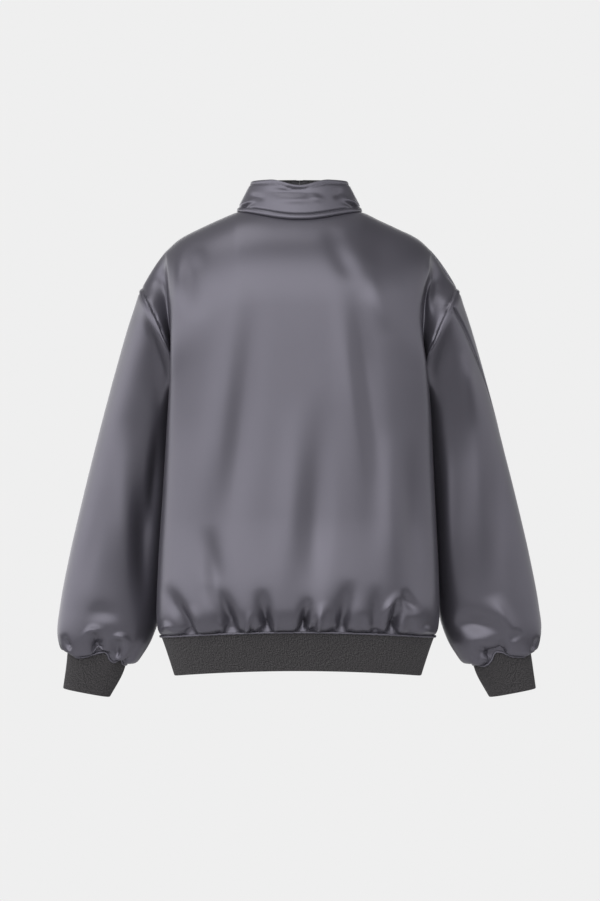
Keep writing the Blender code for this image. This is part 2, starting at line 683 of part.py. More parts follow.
def add_zip(walls, collection, satin_tape, metal):
    for side in SIDES:
        outer, inner = tape_wall(walls, side)
        wall(f"zip_tape_{side}", outer, inner, satin_tape, collection)
    seat_y, lean = slider_place(walls)
    carrier = bpy.data.objects.new("slider_place", None)
    collection.objects.link(carrier)
    carrier.location = (0.0, seat_y, SLIDER_Z)
    carrier.rotation_euler = (lean, 0.0, 0.0)

    bpy.ops.mesh.primitive_cube_add(size=1.0)
    body = bpy.context.object
    body.name = "zip_slider"
    for v in body.data.vertices:
        taper = 0.72 if v.co.z < 0 else 1.0
        v.co.x *= SLIDER_WIDTH * taper
        v.co.y = (v.co.y + 0.5) * SLIDER_DEPTH
        v.co.z *= SLIDER_HEIGHT
    rounding = body.modifiers.new("rounding", "BEVEL")
    rounding.width = 0.0009
    rounding.segments = 2
    reach = SLIDER_DEPTH + BRIDGE_CLEAR + BRIDGE_BAR
    profile = [(-BRIDGE_LENGTH / 2, SLIDER_DEPTH / 2), (BRIDGE_LENGTH / 2, SLIDER_DEPTH / 2),
               (BRIDGE_LENGTH / 2, reach - 0.0008), (BRIDGE_LENGTH / 2 - 0.0008, reach),
               (-BRIDGE_LENGTH / 2 + 0.0008, reach), (-BRIDGE_LENGTH / 2, reach - 0.0008)]
    window = [(-BRIDGE_WINDOW / 2, SLIDER_DEPTH), (BRIDGE_WINDOW / 2, SLIDER_DEPTH),
              (BRIDGE_WINDOW / 2, reach - BRIDGE_BAR), (-BRIDGE_WINDOW / 2, reach - BRIDGE_BAR)]
    bridge_mesh = plate("bridge", [profile, window], BRIDGE_WIDTH)
    stand_up = [(v.co.y, v.co.z, v.co.x) for v in bridge_mesh.vertices]
    for v, place in zip(bridge_mesh.vertices, stand_up):
        v.co = place
    bridge = bpy.data.objects.new("bridge", bridge_mesh)
    bridge.hide_render = True
    bridge.display_type = "WIRE"
    cutters = bpy.data.collections.new("joined shapes")
    bpy.context.scene.collection.children.link(cutters)
    cutters.objects.link(bridge)
    bridge.parent = carrier
    join = body.modifiers.new("bridge", "BOOLEAN")
    join.operation = "UNION"
    join.object = bridge
    for holder in body.users_collection:
        holder.objects.unlink(body)
    collection.objects.link(body)
    body.data.materials.append(metal)
    body.parent = carrier

    slot_top = -PULL_THICKNESS / 2
    slot = rectangle(PULL_SLOT_WIDTH, slot_top - PULL_SLOT_LENGTH, slot_top)
    pull = shown("zip_pull", plate("zip_pull", [rounded_tab(), slot], PULL_THICKNESS), metal, collection)
    pull.parent = carrier
    pull.location = (0.0, SLIDER_DEPTH + BRIDGE_CLEAR / 2, 0.0)


def main():
    for old in list(bpy.data.objects):
        bpy.data.objects.remove(old)
    jacket = bpy.data.collections.new("satin bomber jacket")
    bpy.context.scene.collection.children.link(jacket)
    satin = finish("charcoal satin", (0.100, 0.096, 0.108), 0.38)
    knit = finish("charcoal heather rib", (0.052, 0.051, 0.050), 0.9)
    tape = finish("woven zip tape", (0.030, 0.030, 0.032), 0.8)
    metal = finish("gunmetal", (0.22, 0.22, 0.23), 0.35, 1.0)

    walls = sewn(cloth_pieces())
    hanging = ("back_panel", "front_panel_left", "front_panel_right", "hem_rib")
    for name, (outer, inner) in walls.items():
        cloth = knit if name.startswith(("cuff", "hem")) else satin
        if name in hanging:
            outer, inner = hang(outer.copy()), hang(inner.copy())
        wall(name, outer, inner, cloth, jacket)
    add_zip(walls, jacket, tape, metal)


main()
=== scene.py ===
"""Looks of the satin bomber jacket: creased satin, rib knit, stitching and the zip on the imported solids.

Metres, +Z up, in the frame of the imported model. +Y is the wearer's front and +X the wearer's right.
"""

import functools
import math
from collections import namedtuple

import bpy
import numpy as np
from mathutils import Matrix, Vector
from mathutils.kdtree import KDTree


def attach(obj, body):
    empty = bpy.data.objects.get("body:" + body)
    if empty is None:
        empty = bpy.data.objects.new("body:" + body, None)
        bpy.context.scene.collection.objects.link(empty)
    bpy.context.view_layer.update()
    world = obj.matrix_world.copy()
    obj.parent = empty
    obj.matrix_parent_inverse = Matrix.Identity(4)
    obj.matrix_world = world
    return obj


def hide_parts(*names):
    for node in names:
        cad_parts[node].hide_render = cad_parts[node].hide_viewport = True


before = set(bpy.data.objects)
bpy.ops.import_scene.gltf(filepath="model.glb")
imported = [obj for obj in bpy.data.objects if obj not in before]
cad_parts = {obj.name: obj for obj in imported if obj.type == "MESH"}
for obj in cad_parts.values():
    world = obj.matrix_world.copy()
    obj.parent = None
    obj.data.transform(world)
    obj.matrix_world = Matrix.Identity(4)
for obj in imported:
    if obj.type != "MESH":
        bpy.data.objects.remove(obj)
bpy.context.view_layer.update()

bl_info = {
    "name": "Satin bomber jacket",
    "version": (1, 0, 0),
    "blender": (4, 5, 0),
    "location": "View3D > Sidebar > Jacket",
    "description": "Dresses the jacket's solids in creased satin, rib knit, stitching and a zip",
    "category": "Object",
}

SIDES = {"left": -1.0, "right": 1.0}

# Body: rib seam and its lift, powers of the sections, roll over the shoulders, hollow and hang
SEAM_Z = -0.6335
SEAM_LIFT_BACK = 0.0095
SEAM_LIFT_FRONT = 0.0030
SECTION_POWER = 2.5
ROLL_POWER = 2.2
ROLL_BACK = 0.150
ROLL_FRONT = 0.140
HOLLOW_DEPTH = 0.010
HANG_LEFT = 0.0025
HANG_FROM_Z = -0.262

# A body face bends into its border. The bend's place is a share of the way across or inward: the share at the
# side seam, what the armhole and the shoulder add to it, and the share at the armpit.
Bend = namedtuple("Bend", "side armhole shoulder armpit")
BEND_ACROSS = Bend(0.40, -0.25, 0.10, 0.95)
BEND_INWARD = Bend(0.65, 0.30, -0.15, 0.22)
BEND_DOWN = 0.5
ARMPIT_REACH = 0.080
SHOULDER_LIFT = 0.010

# Valley between the back and the sleeve: its powers across, inward and in depth, and its fades at both ends
VALLEY_DEPTH = 0.020
VALLEY_ACROSS = 1.9
VALLEY_INWARD = 3.6
VALLEY_SKEW = 0.6
VALLEY_FROM = 0.30
VALLEY_TO = 0.22

# Tuck that draws the back in beside the wearer's right armhole
RIGHT_TUCK = 0.0110
TUCK_FROM_X = 0.120
TUCK_RUN = 0.060
TUCK_Z = -0.150
TUCK_HEIGHT = 0.075
TUCK_SIDE_FADE = 0.040

# Body: sections from the rib seam upwards
BodyRow = namedtuple(
    "BodyRow", "z back_width back_depth back_edge side_x side_y front_width front_depth front_edge"
)
BODY = [
    BodyRow(-0.6335, 0.2036, 0.1200, 0.034, 0.1890, 0.010, 0.1850, 0.1200, 0.060),
    BodyRow(-0.6220, 0.2085, 0.1330, 0.040, 0.1910, 0.010, 0.1880, 0.1330, 0.068),
    BodyRow(-0.6000, 0.2100, 0.1390, 0.044, 0.1905, 0.010, 0.1890, 0.1390, 0.072),
    BodyRow(-0.5200, 0.2080, 0.1400, 0.046, 0.1830, 0.010, 0.1850, 0.1400, 0.072),
    BodyRow(-0.4200, 0.2025, 0.1390, 0.050, 0.1700, 0.008, 0.1770, 0.1400, 0.074),
    BodyRow(-0.3500, 0.1985, 0.1380, 0.056, 0.1590, 0.006, 0.1690, 0.1400, 0.080),
    BodyRow(-0.3000, 0.1955, 0.1375, 0.066, 0.1550, 0.006, 0.1665, 0.1400, 0.088),
    BodyRow(-0.2620, 0.1930, 0.1370, 0.076, 0.1700, 0.006, 0.1700, 0.1390, 0.096),
    BodyRow(-0.2000, 0.1910, 0.1360, 0.089, 0.1700, 0.006, 0.1800, 0.1360, 0.103),
    BodyRow(-0.1200, 0.1940, 0.1330, 0.086, 0.1700, 0.006, 0.1880, 0.1290, 0.094),
    BodyRow(-0.0555, 0.2005, 0.1290, 0.080, 0.1700, 0.006, 0.2005, 0.1240, 0.084),
]

# Shoulder line from the neck point over the shoulder bone to the drop-shoulder seam
LinePoint = namedtuple("LinePoint", "x z")
SHOULDER = [
    LinePoint(0.0950, 0.0030),
    LinePoint(0.1160, -0.0060),
    LinePoint(0.1455, -0.0195),
    LinePoint(0.1800, -0.0375),
    LinePoint(0.2005, -0.0555),
]
NECK_HALF = SHOULDER[0].x
BONE_X = SHOULDER[-1].x
BONE_Z = SHOULDER[-1].z
NECK_BACK_Y = 0.0720
NECK_FRONT_Y = 0.0800
LINE_UNDER_COLLAR = {
    "back": [LinePoint(0.0, 0.0082), LinePoint(0.045, 0.0076)],
    "front": [LinePoint(0.0, -0.0086), LinePoint(0.045, -0.0040)],
}

# Collar: a funnel that narrows upwards and stands higher in front
COLLAR_TOP_HALF = 0.0720
COLLAR_TOP_BACK_Y = 0.0600
COLLAR_TOP_FRONT_Y = 0.0660
COLLAR_TOP_BACK_Z = 0.0385
COLLAR_TOP_SIDE_Z = 0.0475
COLLAR_TOP_FRONT_Z = 0.0540
COLLAR_DIP_HALF = 0.62

# Sleeve: sections from the armhole seam to the cuff seam
SleeveRow = namedtuple("SleeveRow", "v outer_x outer_z inner_x inner_z mid_y back front")
SLEEVE = [
    SleeveRow(0.000, 0.2400, -0.1195, 0.1700, -0.2620, 0.006, 0.088, 0.080),
    SleeveRow(0.050, 0.2475, -0.1410, 0.1790, -0.2735, 0.012, 0.087, 0.078),
    SleeveRow(0.100, 0.2550, -0.1630, 0.1850, -0.2880, 0.018, 0.085, 0.076),
    SleeveRow(0.250, 0.2765, -0.2350, 0.1895, -0.3320, 0.032, 0.082, 0.072),
    SleeveRow(0.450, 0.3045, -0.3380, 0.1920, -0.4050, 0.042, 0.076, 0.068),
    SleeveRow(0.650, 0.3305, -0.4420, 0.1970, -0.4830, 0.046, 0.072, 0.063),
    SleeveRow(0.800, 0.3495, -0.5250, 0.2040, -0.5490, 0.046, 0.067, 0.058),
    SleeveRow(0.900, 0.3615, -0.5900, 0.2110, -0.6050, 0.045, 0.062, 0.055),
    SleeveRow(0.955, 0.3660, -0.6300, 0.2225, -0.6400, 0.044, 0.057, 0.053),
    SleeveRow(0.980, 0.3640, -0.6490, 0.2370, -0.6650, 0.043, 0.050, 0.048),
    SleeveRow(0.992, 0.3590, -0.6590, 0.2485, -0.6780, 0.042, 0.042, 0.042),
    SleeveRow(1.000, 0.3505, -0.6590, 0.2620, -0.6790, 0.042, 0.034, 0.034),
]
SLEEVE_POWER = 2.75
SEAM_TURN_SHARE = {"left": 0.0, "right": 0.3}
SEAM_TURN_END = 0.45
LOWER_ARM = (0.93, 1.00)

# Cuff: a rib strip sewn into a ring, from the sleeve to the hand
CuffRow = namedtuple("CuffRow", "w outer_x outer_z inner_x inner_z back front")
CUFF = [
    CuffRow(0.0, 0.3505, -0.6590, 0.2620, -0.6790, 0.0340, 0.0340),
    CuffRow(0.3, 0.3515, -0.6740, 0.2665, -0.6920, 0.0315, 0.0315),
    CuffRow(1.0, 0.3570, -0.7150, 0.2865, -0.7285, 0.0275, 0.0275),
]
CUFF_MID_Y = 0.042

# Rib hem: a knit band hanging from the rib seam
HEM_HEIGHT = 0.0578
HEM_BOTTOM_IN = 0.0195
HEM_IN_POWER = 0.92

# Satin above the rib seam hangs over the rib; where a gather holds it, it swells out later and dips in.
# Each length is along the cloth, from the rib seam or from the side seam.
HEM_OVERHANG = 0.0042
HEM_SWELL = 0.015
HEM_SWELL_HELD = 0.066
HEM_FADE_FROM = 0.040
HEM_FADE = 0.140
HEM_SIDE_FROM = 0.045
HEM_SIDE_FADE = 0.100
GATHER_DIP = 0.0055
GATHER_TOP = 0.105
GATHER_FADE = 0.085
GATHER_SIDE_FADE = 0.030

# Creases fade out over these lengths on their way to the seams
BODY_FADE_RIB = 0.008
RELIEF_FADE_RIB = 0.003
BODY_FADE_TOP = 0.014
BODY_FADE_SIDE = 0.010
SLEEVE_FADE_CUFF = 0.006
SLEEVE_FADE_ARM = 0.030
SLEEVE_FADE_SIDE = 0.014
COLLAR_FADE_NECK = 0.006
COLLAR_FADE_TOP = 0.008
SEAM_FADE = 0.002

# Lines sewn into the satin: how deep they press it in, how far from the piece's edge, and how wide they are
SewnLine = namedtuple("SewnLine", "depth at width")
RIB_SEAM = SewnLine(0.0012, 0.0022, 0.0018)
TOP_SEAM = SewnLine(0.0022, 0.0, 0.0026)
SIDE_SEAM = SewnLine(0.0010, 0.0, 0.0024)
ARMHOLE_STITCH = SewnLine(0.0010, 0.0080, 0.0018)
ARMHOLE_SEAM = SewnLine(0.0009, 0.0, 0.0018)
OVERARM_SEAM = SewnLine(0.0018, 0.0, 0.0018)
OVERARM_STITCH = SewnLine(0.0012, 0.0065, 0.0015)
UNDERARM_SEAM = SewnLine(0.0010, 0.0, 0.0022)
NECK_SEAM = SewnLine(0.0008, 0.0, 0.0018)
NECK_BAND = SewnLine(0.0012, 0.0070, 0.0015)
COLLAR_STITCH = SewnLine(0.0008, 0.0065, 0.0015)
FRONT_STITCH_AT = 0.0070
ARMHOLE_BAND = 0.0008
CUFF_PUCKER = 0.0012

# Puckers along the sewn lines: their waves, their shares of a line's depth, and how fast they follow on
PUCKER_WAVES = (0.0093, 0.0137, 0.0061)
PUCKER_PHASE = 5
RIB_PUCKER_SHARE = 0.5
BAND_PUCKER_SHARE = 0.9
BAND_PUCKER_PACE = 1.4
STITCH_PUCKER_SHARE = 0.7
STITCH_PUCKER_PACE = 2.0
COLLAR_PUCKER_SHARE = 0.4

# Satin lips along the rib seams: how far out they lie, in lip radii, how far up, and how high they ripple
HEM_LIP_OUT = 0.9
CUFF_LIP_OUT = 0.5
HEM_LIP_UP = 0.0004
LIP_RIPPLE = 0.0005

# Topstitching: the share of the thread that stands off the cloth, and the rows that the overarm's line takes
STITCH_LIFT = 0.15
OVERARM_SEWN = slice(4, -12)

# Free edges are rounded off over a radius, down to a least share of the wall
EDGE_RADIUS = 0.0014
EDGE_LEAST = 0.06
EDGE_ROWS_FROM = 0.96
EDGE_ROWS = (0.970, 0.980, 0.988, 0.995, 1.0)

# Points nearer than this are one place on a seam, and edges that turn by more than this are shaded sharp
SAME_PLACE = 0.00004
SHARP_ANGLE = math.radians(58.0)

# Zip: tapes behind the front edges, teeth up to the slider on the collar
ZIP_HALF_GAP = 0.0060
TAPE_WIDTH = 0.0120
TAPE_WALL = 0.0012
TAPE_MIDDLE_GAP = 0.00006
TAPE_SEAT = 0.0005
TAPE_END = 0.0014
TAPE_BOW_FROM = -0.080
TAPE_BOW_RUN = 0.050
TAPE_BOW_MOST = 1.5
SLIDER_FOOT_Z = 0.0270
TOOTH_SIZE = (0.0034, 0.0020, 0.0014)
TOOTH_ASIDE = 0.0013
TOOTH_SEAT = 0.0008

# Grid counts, and how evenly the rows lie
NECK_COLUMNS = 42
SHOULDER_COLUMNS = 60
TURN_COLUMNS = 32
ROWS_BELOW = 94
ROWS_ABOVE = 66
SLEEVE_ROWS = 160
COLLAR_ROWS = 30
RIB_ROWS = 20
POINTS_A_RIB = 4
FINE_STEPS = 400
FINE_TURNS = 721
SPACING_Z = -0.35
HEM_LIP_POINTS = 700
HEM_LIP_REACH = 3
CUFF_LIP_POINTS = 240
TAPE_ROWS = 400
TAPE_COLUMNS = 9
TAPE_REACH = 6
BODY_EVEN_SHARE = 0.40
SLEEVE_EVEN_SHARE = 0.30
SLEEVE_ROW_POWER = 1.7
RELAX_ROUNDS = {"back": 9, "front": 6, "sleeve": 3}
RELAX_KEPT = 0.4
LEVEL_PARTS = 60
LEVEL_LEAST = 3
FIRST_TOOTH_ROW = 2

# Creases: from one point to another as seen from behind, troughs positive and ridges negative.
# A crease is strongest at its peak's share of the way, and bows sideways by its bow. Rows are in millimetres.
Crease = namedtuple("Crease", "x z to_x to_z width to_width depth bow peak", defaults=(0.0, 0.0))


def in_metres(rows, lengths=8):
    """Creases from rows whose first values are lengths in millimetres, and whose others are shares."""
    return [Crease(*(size / 1000 for size in row[:lengths]), *row[lengths:]) for row in rows]


BACK_CREASES = in_metres([
    # folds that run into the gathers above the rib, from the wearer's left to the right
    (-204, -627, -175, -625, 5, 5, -2.6, -11, 0.5),
    (-152, -632, -194, -548, 6, 11, 4.2, 0, 0.35),
    (-140, -632, -156, -580, 6, 8, -1.6, 0, 0.40),
    (-90, -632, -132, -545, 6, 15, 7.6, 4, 0.30),
    (-114, -590, -132, -460, 13, 16, 5.6, 0, 0.40),
    (-106, -632, -120, -600, 3.4, 5, -2.6, 0, 0.30),
    (-78, -632, -68, -588, 3.2, 5, -3, 0, 0.35),
    (-71, -632, -63, -596, 3.6, 5, 2.6, 0, 0.35),
    (-43, -632, -54, -555, 4.4, 11, 5.8, 0, 0.30),
    (-49, -628, -56, -600, 2.8, 4, -1.8, 0, 0.40),
    (-36, -630, -30, -596, 3.2, 5, -2.4, 0, 0.35),
    (4, -632, 16, -570, 3.8, 7, 6.6, 0, 0.25),
    (11, -632, 23, -592, 2.8, 4, -3.2, 0, 0.35),
    (18, -632, 28, -594, 3.4, 5, 3, 0, 0.35),
    (26, -632, 39, -574, 3.2, 6, -3.6, 0, 0.40),
    (62, -632, 78, -540, 6, 14, 5.2, 0, 0.30),
    (57, -632, 55, -602, 2.8, 4, -2.4, 0, 0.35),
    (69, -632, 78, -600, 3, 4, -2.2, 0, 0.35),
    (96, -632, 94, -590, 6, 8, 2, 0, 0.40),
    (116, -632, 112, -546, 8, 12, 3, 0, 0.35),
    (134, -632, 142, -568, 4.6, 8, 7, 6, 0.30),
    (124, -606, 152, -562, 4.4, 6, -3.6, -4, 0.45),
    (146, -632, 155, -592, 4, 6, -2.8, 0, 0.35),
    (150, -558, 174, -598, 7, 7, 4, 2, 0.50),
    (161, -632, 167, -598, 5, 8, 3, 0, 0.35),
    (186, -616, 182, -550, 13, 16, -1.6, 0, 0.45),
    (172, -627, 200, -626, 4.5, 4.5, -2.4, -8, 0.5),
    # long soft folds down the back, each a ridge beside a trough
    (-90, -90, -138, -500, 19, 24, -3.4, 0, 0.60),
    (-62, -90, -106, -520, 17, 22, 3.4, 0, 0.60),
    (52, -80, 104, -500, 15, 20, -3.2, 0, 0.50),
    (78, -80, 132, -500, 14, 19, 4.2, 0, 0.40),
    (0, -260, -18, -590, 20, 20, -3, 0, 0.60),
    (32, -260, 20, -600, 20, 19, 4.4, 0, 0.60),
    (128, -320, 142, -590, 20, 20, -4.8, 0, 0.55),
    (164, -320, 178, -590, 17, 17, 4.8, 0, 0.55),
    # soft diagonals from the shoulders
    (-160, -45, -146, -170, 15, 16, 4, 4, 0.35),
    (-182, -60, -178, -170, 8, 8, -2, 0, 0.50),
    (36, -16, 84, -120, 16, 15, 2.6, 0, 0.60),
    (98, 0, 140, -130, 34, 30, 5, 0, 0.40),
    (100, -85, 130, -190, 12, 16, -1.8, 0, 0.45),
    # fold that hangs from the right shoulder bone
    (193, -68, 192.5, -180, 4.2, 5, -3.4, 0, 0.35),
])
# Gathers hold the hem in where it would hang over the rib; their depth is a share of the overhang.
BACK_GATHERS = in_metres([
    (-155, -633, -198, -535, 9, 16, 1.0),
    (-96, -633, -142, -505, 14, 23, 1.0),
    (-46, -630, -58, -535, 10, 15, 1.0),
    (8, -627, 18, -550, 9, 13, 1.0),
    (62, -630, 70, -520, 14, 20, 1.0),
    (114, -631, 110, -545, 8, 14, 0.6),
    (138, -632, 146, -550, 10, 15, 1.0),
], lengths=6)
FRONT_GATHERS = in_metres([
    (31, -633, 34, -560, 9, 14, 1.0),
    (60, -633, 74, -530, 11, 19, 1.0),
    (110, -633, 120, -535, 11, 18, 1.0),
    (136, -633, 130, -560, 8, 13, 0.8),
    (164, -633, 172, -550, 10, 15, 1.0),
], lengths=6)
FRONT_CREASES = in_metres([
    (30, -632, 33, -592, 6, 10, 4),
    (43, -632, 46, -602, 4, 6, -2.4),
    (58, -632, 72, -555, 7, 18, 7, 4),
    (70, -632, 80, -596, 3.6, 6, -3.2),
    (84, -632, 78, -596, 5, 8, 4),
    (108, -632, 118, -560, 6, 15, 7),
    (120, -632, 128, -600, 3.6, 6, -3),
    (137, -632, 131, -588, 5, 10, 4.6),
    (152, -632, 156, -604, 4, 6, -2.6),
    (164, -632, 171, -578, 6, 12, 5.6),
    (40, -570, 46, -200, 26, 30, -2.2, 0, 0.40),
    (78, -570, 80, -260, 22, 28, 3, 0, 0.35),
    (118, -560, 110, -190, 26, 32, -2.6, 0, 0.45),
    (150, -540, 152, -240, 18, 20, 2.6, 0, 0.50),
    (150, -85, 110, -215, 14, 18, 2.4, 0, 0.40),
    (120, -60, 85, -180, 16, 20, -1.8, 0, 0.40),
])
SLEEVE_CREASES = {
    "left": in_metres([
        (-301.5, -668, -303.5, -620, 5.6, 11, 10.5, 0, 0.30),
        (-327, -638, -289, -639, 4.6, 4.6, -3.6, -14, 0.50),
        (-277.2, -678, -272, -632, 6, 12, 7.2, 0, 0.35),
        (-290, -640, -251, -652, 5, 5, -2.6, -11, 0.50),
        (-344, -658, -356, -630, 3.6, 5, 4, 0, 0.30),
        (-324, -597, -265, -610, 13, 12, 1.8, -4, 0.50),
        (-318, -618, -260, -624, 13, 12, -0.8, -10, 0.50),
        (-264, -310, -266, -620, 17, 17, -5.6, 0, 0.50),
        (-232, -340, -231, -640, 17, 16, 6.2, 0, 0.50),
        (-218, -110, -204, -380, 19, 18, 9, 0, 0.30),
        (-218, -500, -208, -300, 12, 12, 6, 0, 0.50),
        (-322, -580, -296, -400, 13, 13, 1.6, 0, 0.45),
    ]),
    "right": in_metres([
        (302, -664, 258, -644, 5.6, 8, 8, -5, 0.30),
        (303.5, -668, 301, -632, 4.8, 6.6, 9.5, 0, 0.30),
        (222, -612, 308, -632, 17, 12.5, 6.6, -5, 0.45),
        (284, -570, 334, -654, 9, 9, -4, 0, 0.40),
        (315, -646, 328, -622, 5, 6, 3.4, 0, 0.45),
        (351, -660, 360, -634, 3.6, 5, 5, 0, 0.30),
        (266, -676, 262, -656, 4, 6, 3, 0, 0.30),
        (264, -270, 268, -600, 18, 18, -4.6, 0, 0.50),
        (292, -300, 298, -560, 16, 16, 2.2, 0, 0.50),
        (222, -300, 228, -640, 16, 16, -5.2, 0, 0.50),
        (244, -205, 262, -330, 9, 12, -3, 0, 0.35),
        (214, -110, 204, -340, 16, 15, 6, 0, 0.30),
    ]),
}
COLLAR_CREASES = in_metres([
    (-96, 4, -64, 13.5, 2.2, 2.8, 2.2, 0, 0.40),
    (-92, 10, -60, 19, 2.6, 3.2, -1.4, 0, 0.40),
    (-78, 26, -48, 17, 3.6, 4.4, 1.6, 0, 0.40),
    (96, 4, 60, 15.5, 2.4, 3, 2.8, 0, 0.40),
    (92, 11, 58, 22, 2.8, 3.6, -2, 0, 0.40),
    (48, 18, 67, 34, 4.4, 5, 1.8, 0, 0.45),
    (-56, 30, 40, 27, 5.6, 5, 2.2, 0, 0.40),
    (-50, 15, 44, 15, 5.6, 5.6, -1.4, 0, 0.50),
    (10, 24, 42, 12, 5, 5, -1.2, 0, 0.50),
])

# The cuff seam rises at each pucker and sags under each lobe. Turns and widths are degrees round the arm:
# turn 0 is the overarm, and negative turns are the front.
SeamWave = namedtuple("SeamWave", "turn width rise")
CUFF_WAVES = {
    "left": [
        SeamWave(97.0, 11.0, 0.0125),
        SeamWave(134.0, 9.0, 0.0080),
        SeamWave(62.0, 13.0, -0.0045),
        SeamWave(16.0, 12.0, 0.0040),
        SeamWave(-48.0, 12.0, 0.0070),
        SeamWave(-92.0, 12.0, 0.0110),
        SeamWave(-136.0, 11.0, 0.0070),
    ],
    "right": [
        SeamWave(94.0, 9.0, 0.0125),
        SeamWave(8.0, 11.0, 0.0100),
        SeamWave(125.0, 15.0, -0.0045),
        SeamWave(58.0, 14.0, -0.0040),
        SeamWave(-44.0, 12.0, 0.0080),
        SeamWave(-88.0, 12.0, 0.0110),
        SeamWave(-132.0, 11.0, 0.0070),
    ],
}
CUFF_WAVE_REACH = 0.07
CUFF_WAVE_FADE = 0.45

# The wave texture turns by this many radians over its unit
WAVE_RADIANS = 20


def linear(code):
    """Linear red, green and blue of an sRGB hex colour."""
    parts = [int(code[i : i + 2], 16) / 255 for i in (1, 3, 5)]
    return tuple(p / 12.92 if p <= 0.04045 else ((p + 0.055) / 1.055) ** 2.4 for p in parts)


class JacketSizes(bpy.types.PropertyGroup):
    """Sizes that a user would change."""

    satin_wall: bpy.props.FloatProperty(
        name="Satin wall", description="Thickness of the lined satin", default=0.0020, unit="LENGTH"
    )
    knit_wall: bpy.props.FloatProperty(
        name="Knit wall", description="Thickness of the rib knit", default=0.0030, unit="LENGTH"
    )
    collar_wall: bpy.props.FloatProperty(
        name="Collar wall", description="Thickness of the collar", default=0.0030, unit="LENGTH"
    )
    crease_share: bpy.props.FloatProperty(
        name="Creases", description="Depth of every crease and gather", default=1.5, subtype="FACTOR"
    )
    rib_pitch: bpy.props.FloatProperty(
        name="Rib pitch", description="Width of one rib of the knit", default=0.0027, unit="LENGTH"
    )
    rib_height: bpy.props.FloatProperty(
        name="Rib height", description="How far a rib stands proud", default=0.0005, unit="LENGTH"
    )
    stitch_length: bpy.props.FloatProperty(
        name="Stitch length", description="Length of one topstitch", default=0.0026, unit="LENGTH"
    )
    stitch_pitch: bpy.props.FloatProperty(
        name="Stitch pitch", description="From one topstitch to the next", default=0.0035, unit="LENGTH"
    )
    thread: bpy.props.FloatProperty(
        name="Thread", description="Thickness of the sewing thread", default=0.0006, unit="LENGTH"
    )
    lip: bpy.props.FloatProperty(
        name="Seam lip",
        description="Radius of the satin lip along the rib seams",
        default=0.0016,
        unit="LENGTH",
    )
    tooth_pitch: bpy.props.FloatProperty(
        name="Tooth pitch", description="From one zip tooth to the next", default=0.0026, unit="LENGTH"
    )


class JacketColours(bpy.types.PropertyGroup):
    """Colours that a user would change."""

    satin: bpy.props.FloatVectorProperty(
        name="Satin", description="Colour of the satin", default=linear("#5c5a62"), subtype="COLOR"
    )
    knit: bpy.props.FloatVectorProperty(
        name="Knit", description="Darker yarn of the heather knit", default=linear("#1a191a"), subtype="COLOR"
    )
    knit_fleck: bpy.props.FloatVectorProperty(
        name="Knit fleck",
        description="Lighter yarn of the heather knit",
        default=linear("#4c4a4b"),
        subtype="COLOR",
    )
    # The lining's near-black colour is partly its own and partly painted shade, darkening the collar's inner
    # side where shade falls.
    lining: bpy.props.FloatVectorProperty(
        name="Lining", description="Colour of the lining inside", default=linear("#1b1a1c"), subtype="COLOR"
    )
    thread: bpy.props.FloatVectorProperty(
        name="Thread", description="Colour of the sewing thread", default=linear("#55535b"), subtype="COLOR"
    )
    tape: bpy.props.FloatVectorProperty(
        name="Zip tape",
        description="Colour of the woven zip tape",
        default=linear("#2c2b2e"),
        subtype="COLOR",
    )
    metal: bpy.props.FloatVectorProperty(
        name="Metal", description="Colour of the zip's metal", default=linear("#82828a"), subtype="COLOR"
    )


def spline(xs, ys, at):
    """Monotone cubic through a table's rows, so no section overshoots its neighbours."""
    xs, ys, at = np.asarray(xs, float), np.asarray(ys, float), np.asarray(at, float)
    if xs[0] > xs[-1]:
        xs, ys = xs[::-1], ys[::-1]
    steps = np.diff(xs)
    rises = np.diff(ys) / steps
    slopes = np.zeros_like(ys)
    slopes[0], slopes[-1] = rises[0], rises[-1]
    for i in range(1, len(xs) - 1):
        if rises[i - 1] * rises[i] > 0:
            first = 2 * steps[i] + steps[i - 1]
            second = steps[i] + 2 * steps[i - 1]
            slopes[i] = (first + second) / (first / rises[i - 1] + second / rises[i])
    at = np.clip(at, xs[0], xs[-1])
    k = np.clip(np.searchsorted(xs, at) - 1, 0, len(steps) - 1)
    h = steps[k]
    p = (at - xs[k]) / h
    return (
        ys[k] * (1 + 2 * p) * (1 - p) ** 2
        + slopes[k] * h * p * (1 - p) ** 2
        + ys[k + 1] * p * p * (3 - 2 * p)
        + slopes[k + 1] * h * p * p * (p - 1)
    )


def read(table, key, name, at):
    """The named column of a table at a value of its key column."""
    return spline([getattr(r, key) for r in table], [getattr(r, name) for r in table], at)


def arch(q, power):
    """Superellipse: 1 at q 0, falling to 0 with an upright end at q 1."""
    return np.maximum(1 - np.clip(np.abs(q), 0, 1) ** power, 0) ** (1 / power)


def unit(vectors):
    """The same directions at length 1."""
    return vectors / np.maximum(np.linalg.norm(vectors, axis=-1, keepdims=True), 1e-12)


def stack(x, y, z):
    """Points from their three coordinates."""
    return np.stack(np.broadcast_arrays(x, y, z), axis=-1).astype(float)


def ease(share):
    """0 to 1 with level ends."""
    share = np.clip(share, 0, 1)
    return share * share * (3 - 2 * share)


def bump(distance, width):
    """1 at no distance, fading out over a width."""
    return np.exp(-((distance / width) ** 2))


def run_along(grid, axis, start=0):
    """Length along a grid's rows or columns, from its first line or, with start -1, from its last."""
    steps = np.linalg.norm(np.diff(grid, axis=axis), axis=-1)
    first = np.zeros_like(np.take(steps, [0], axis=axis))
    run = np.cumsum(np.concatenate([first, steps], axis=axis), axis=axis)
    return run if start == 0 else np.take(run, [-1], axis=axis) - run


ARMPIT_ROW = (SLEEVE[0].inner_z - SEAM_Z) / (BONE_Z - SEAM_Z)


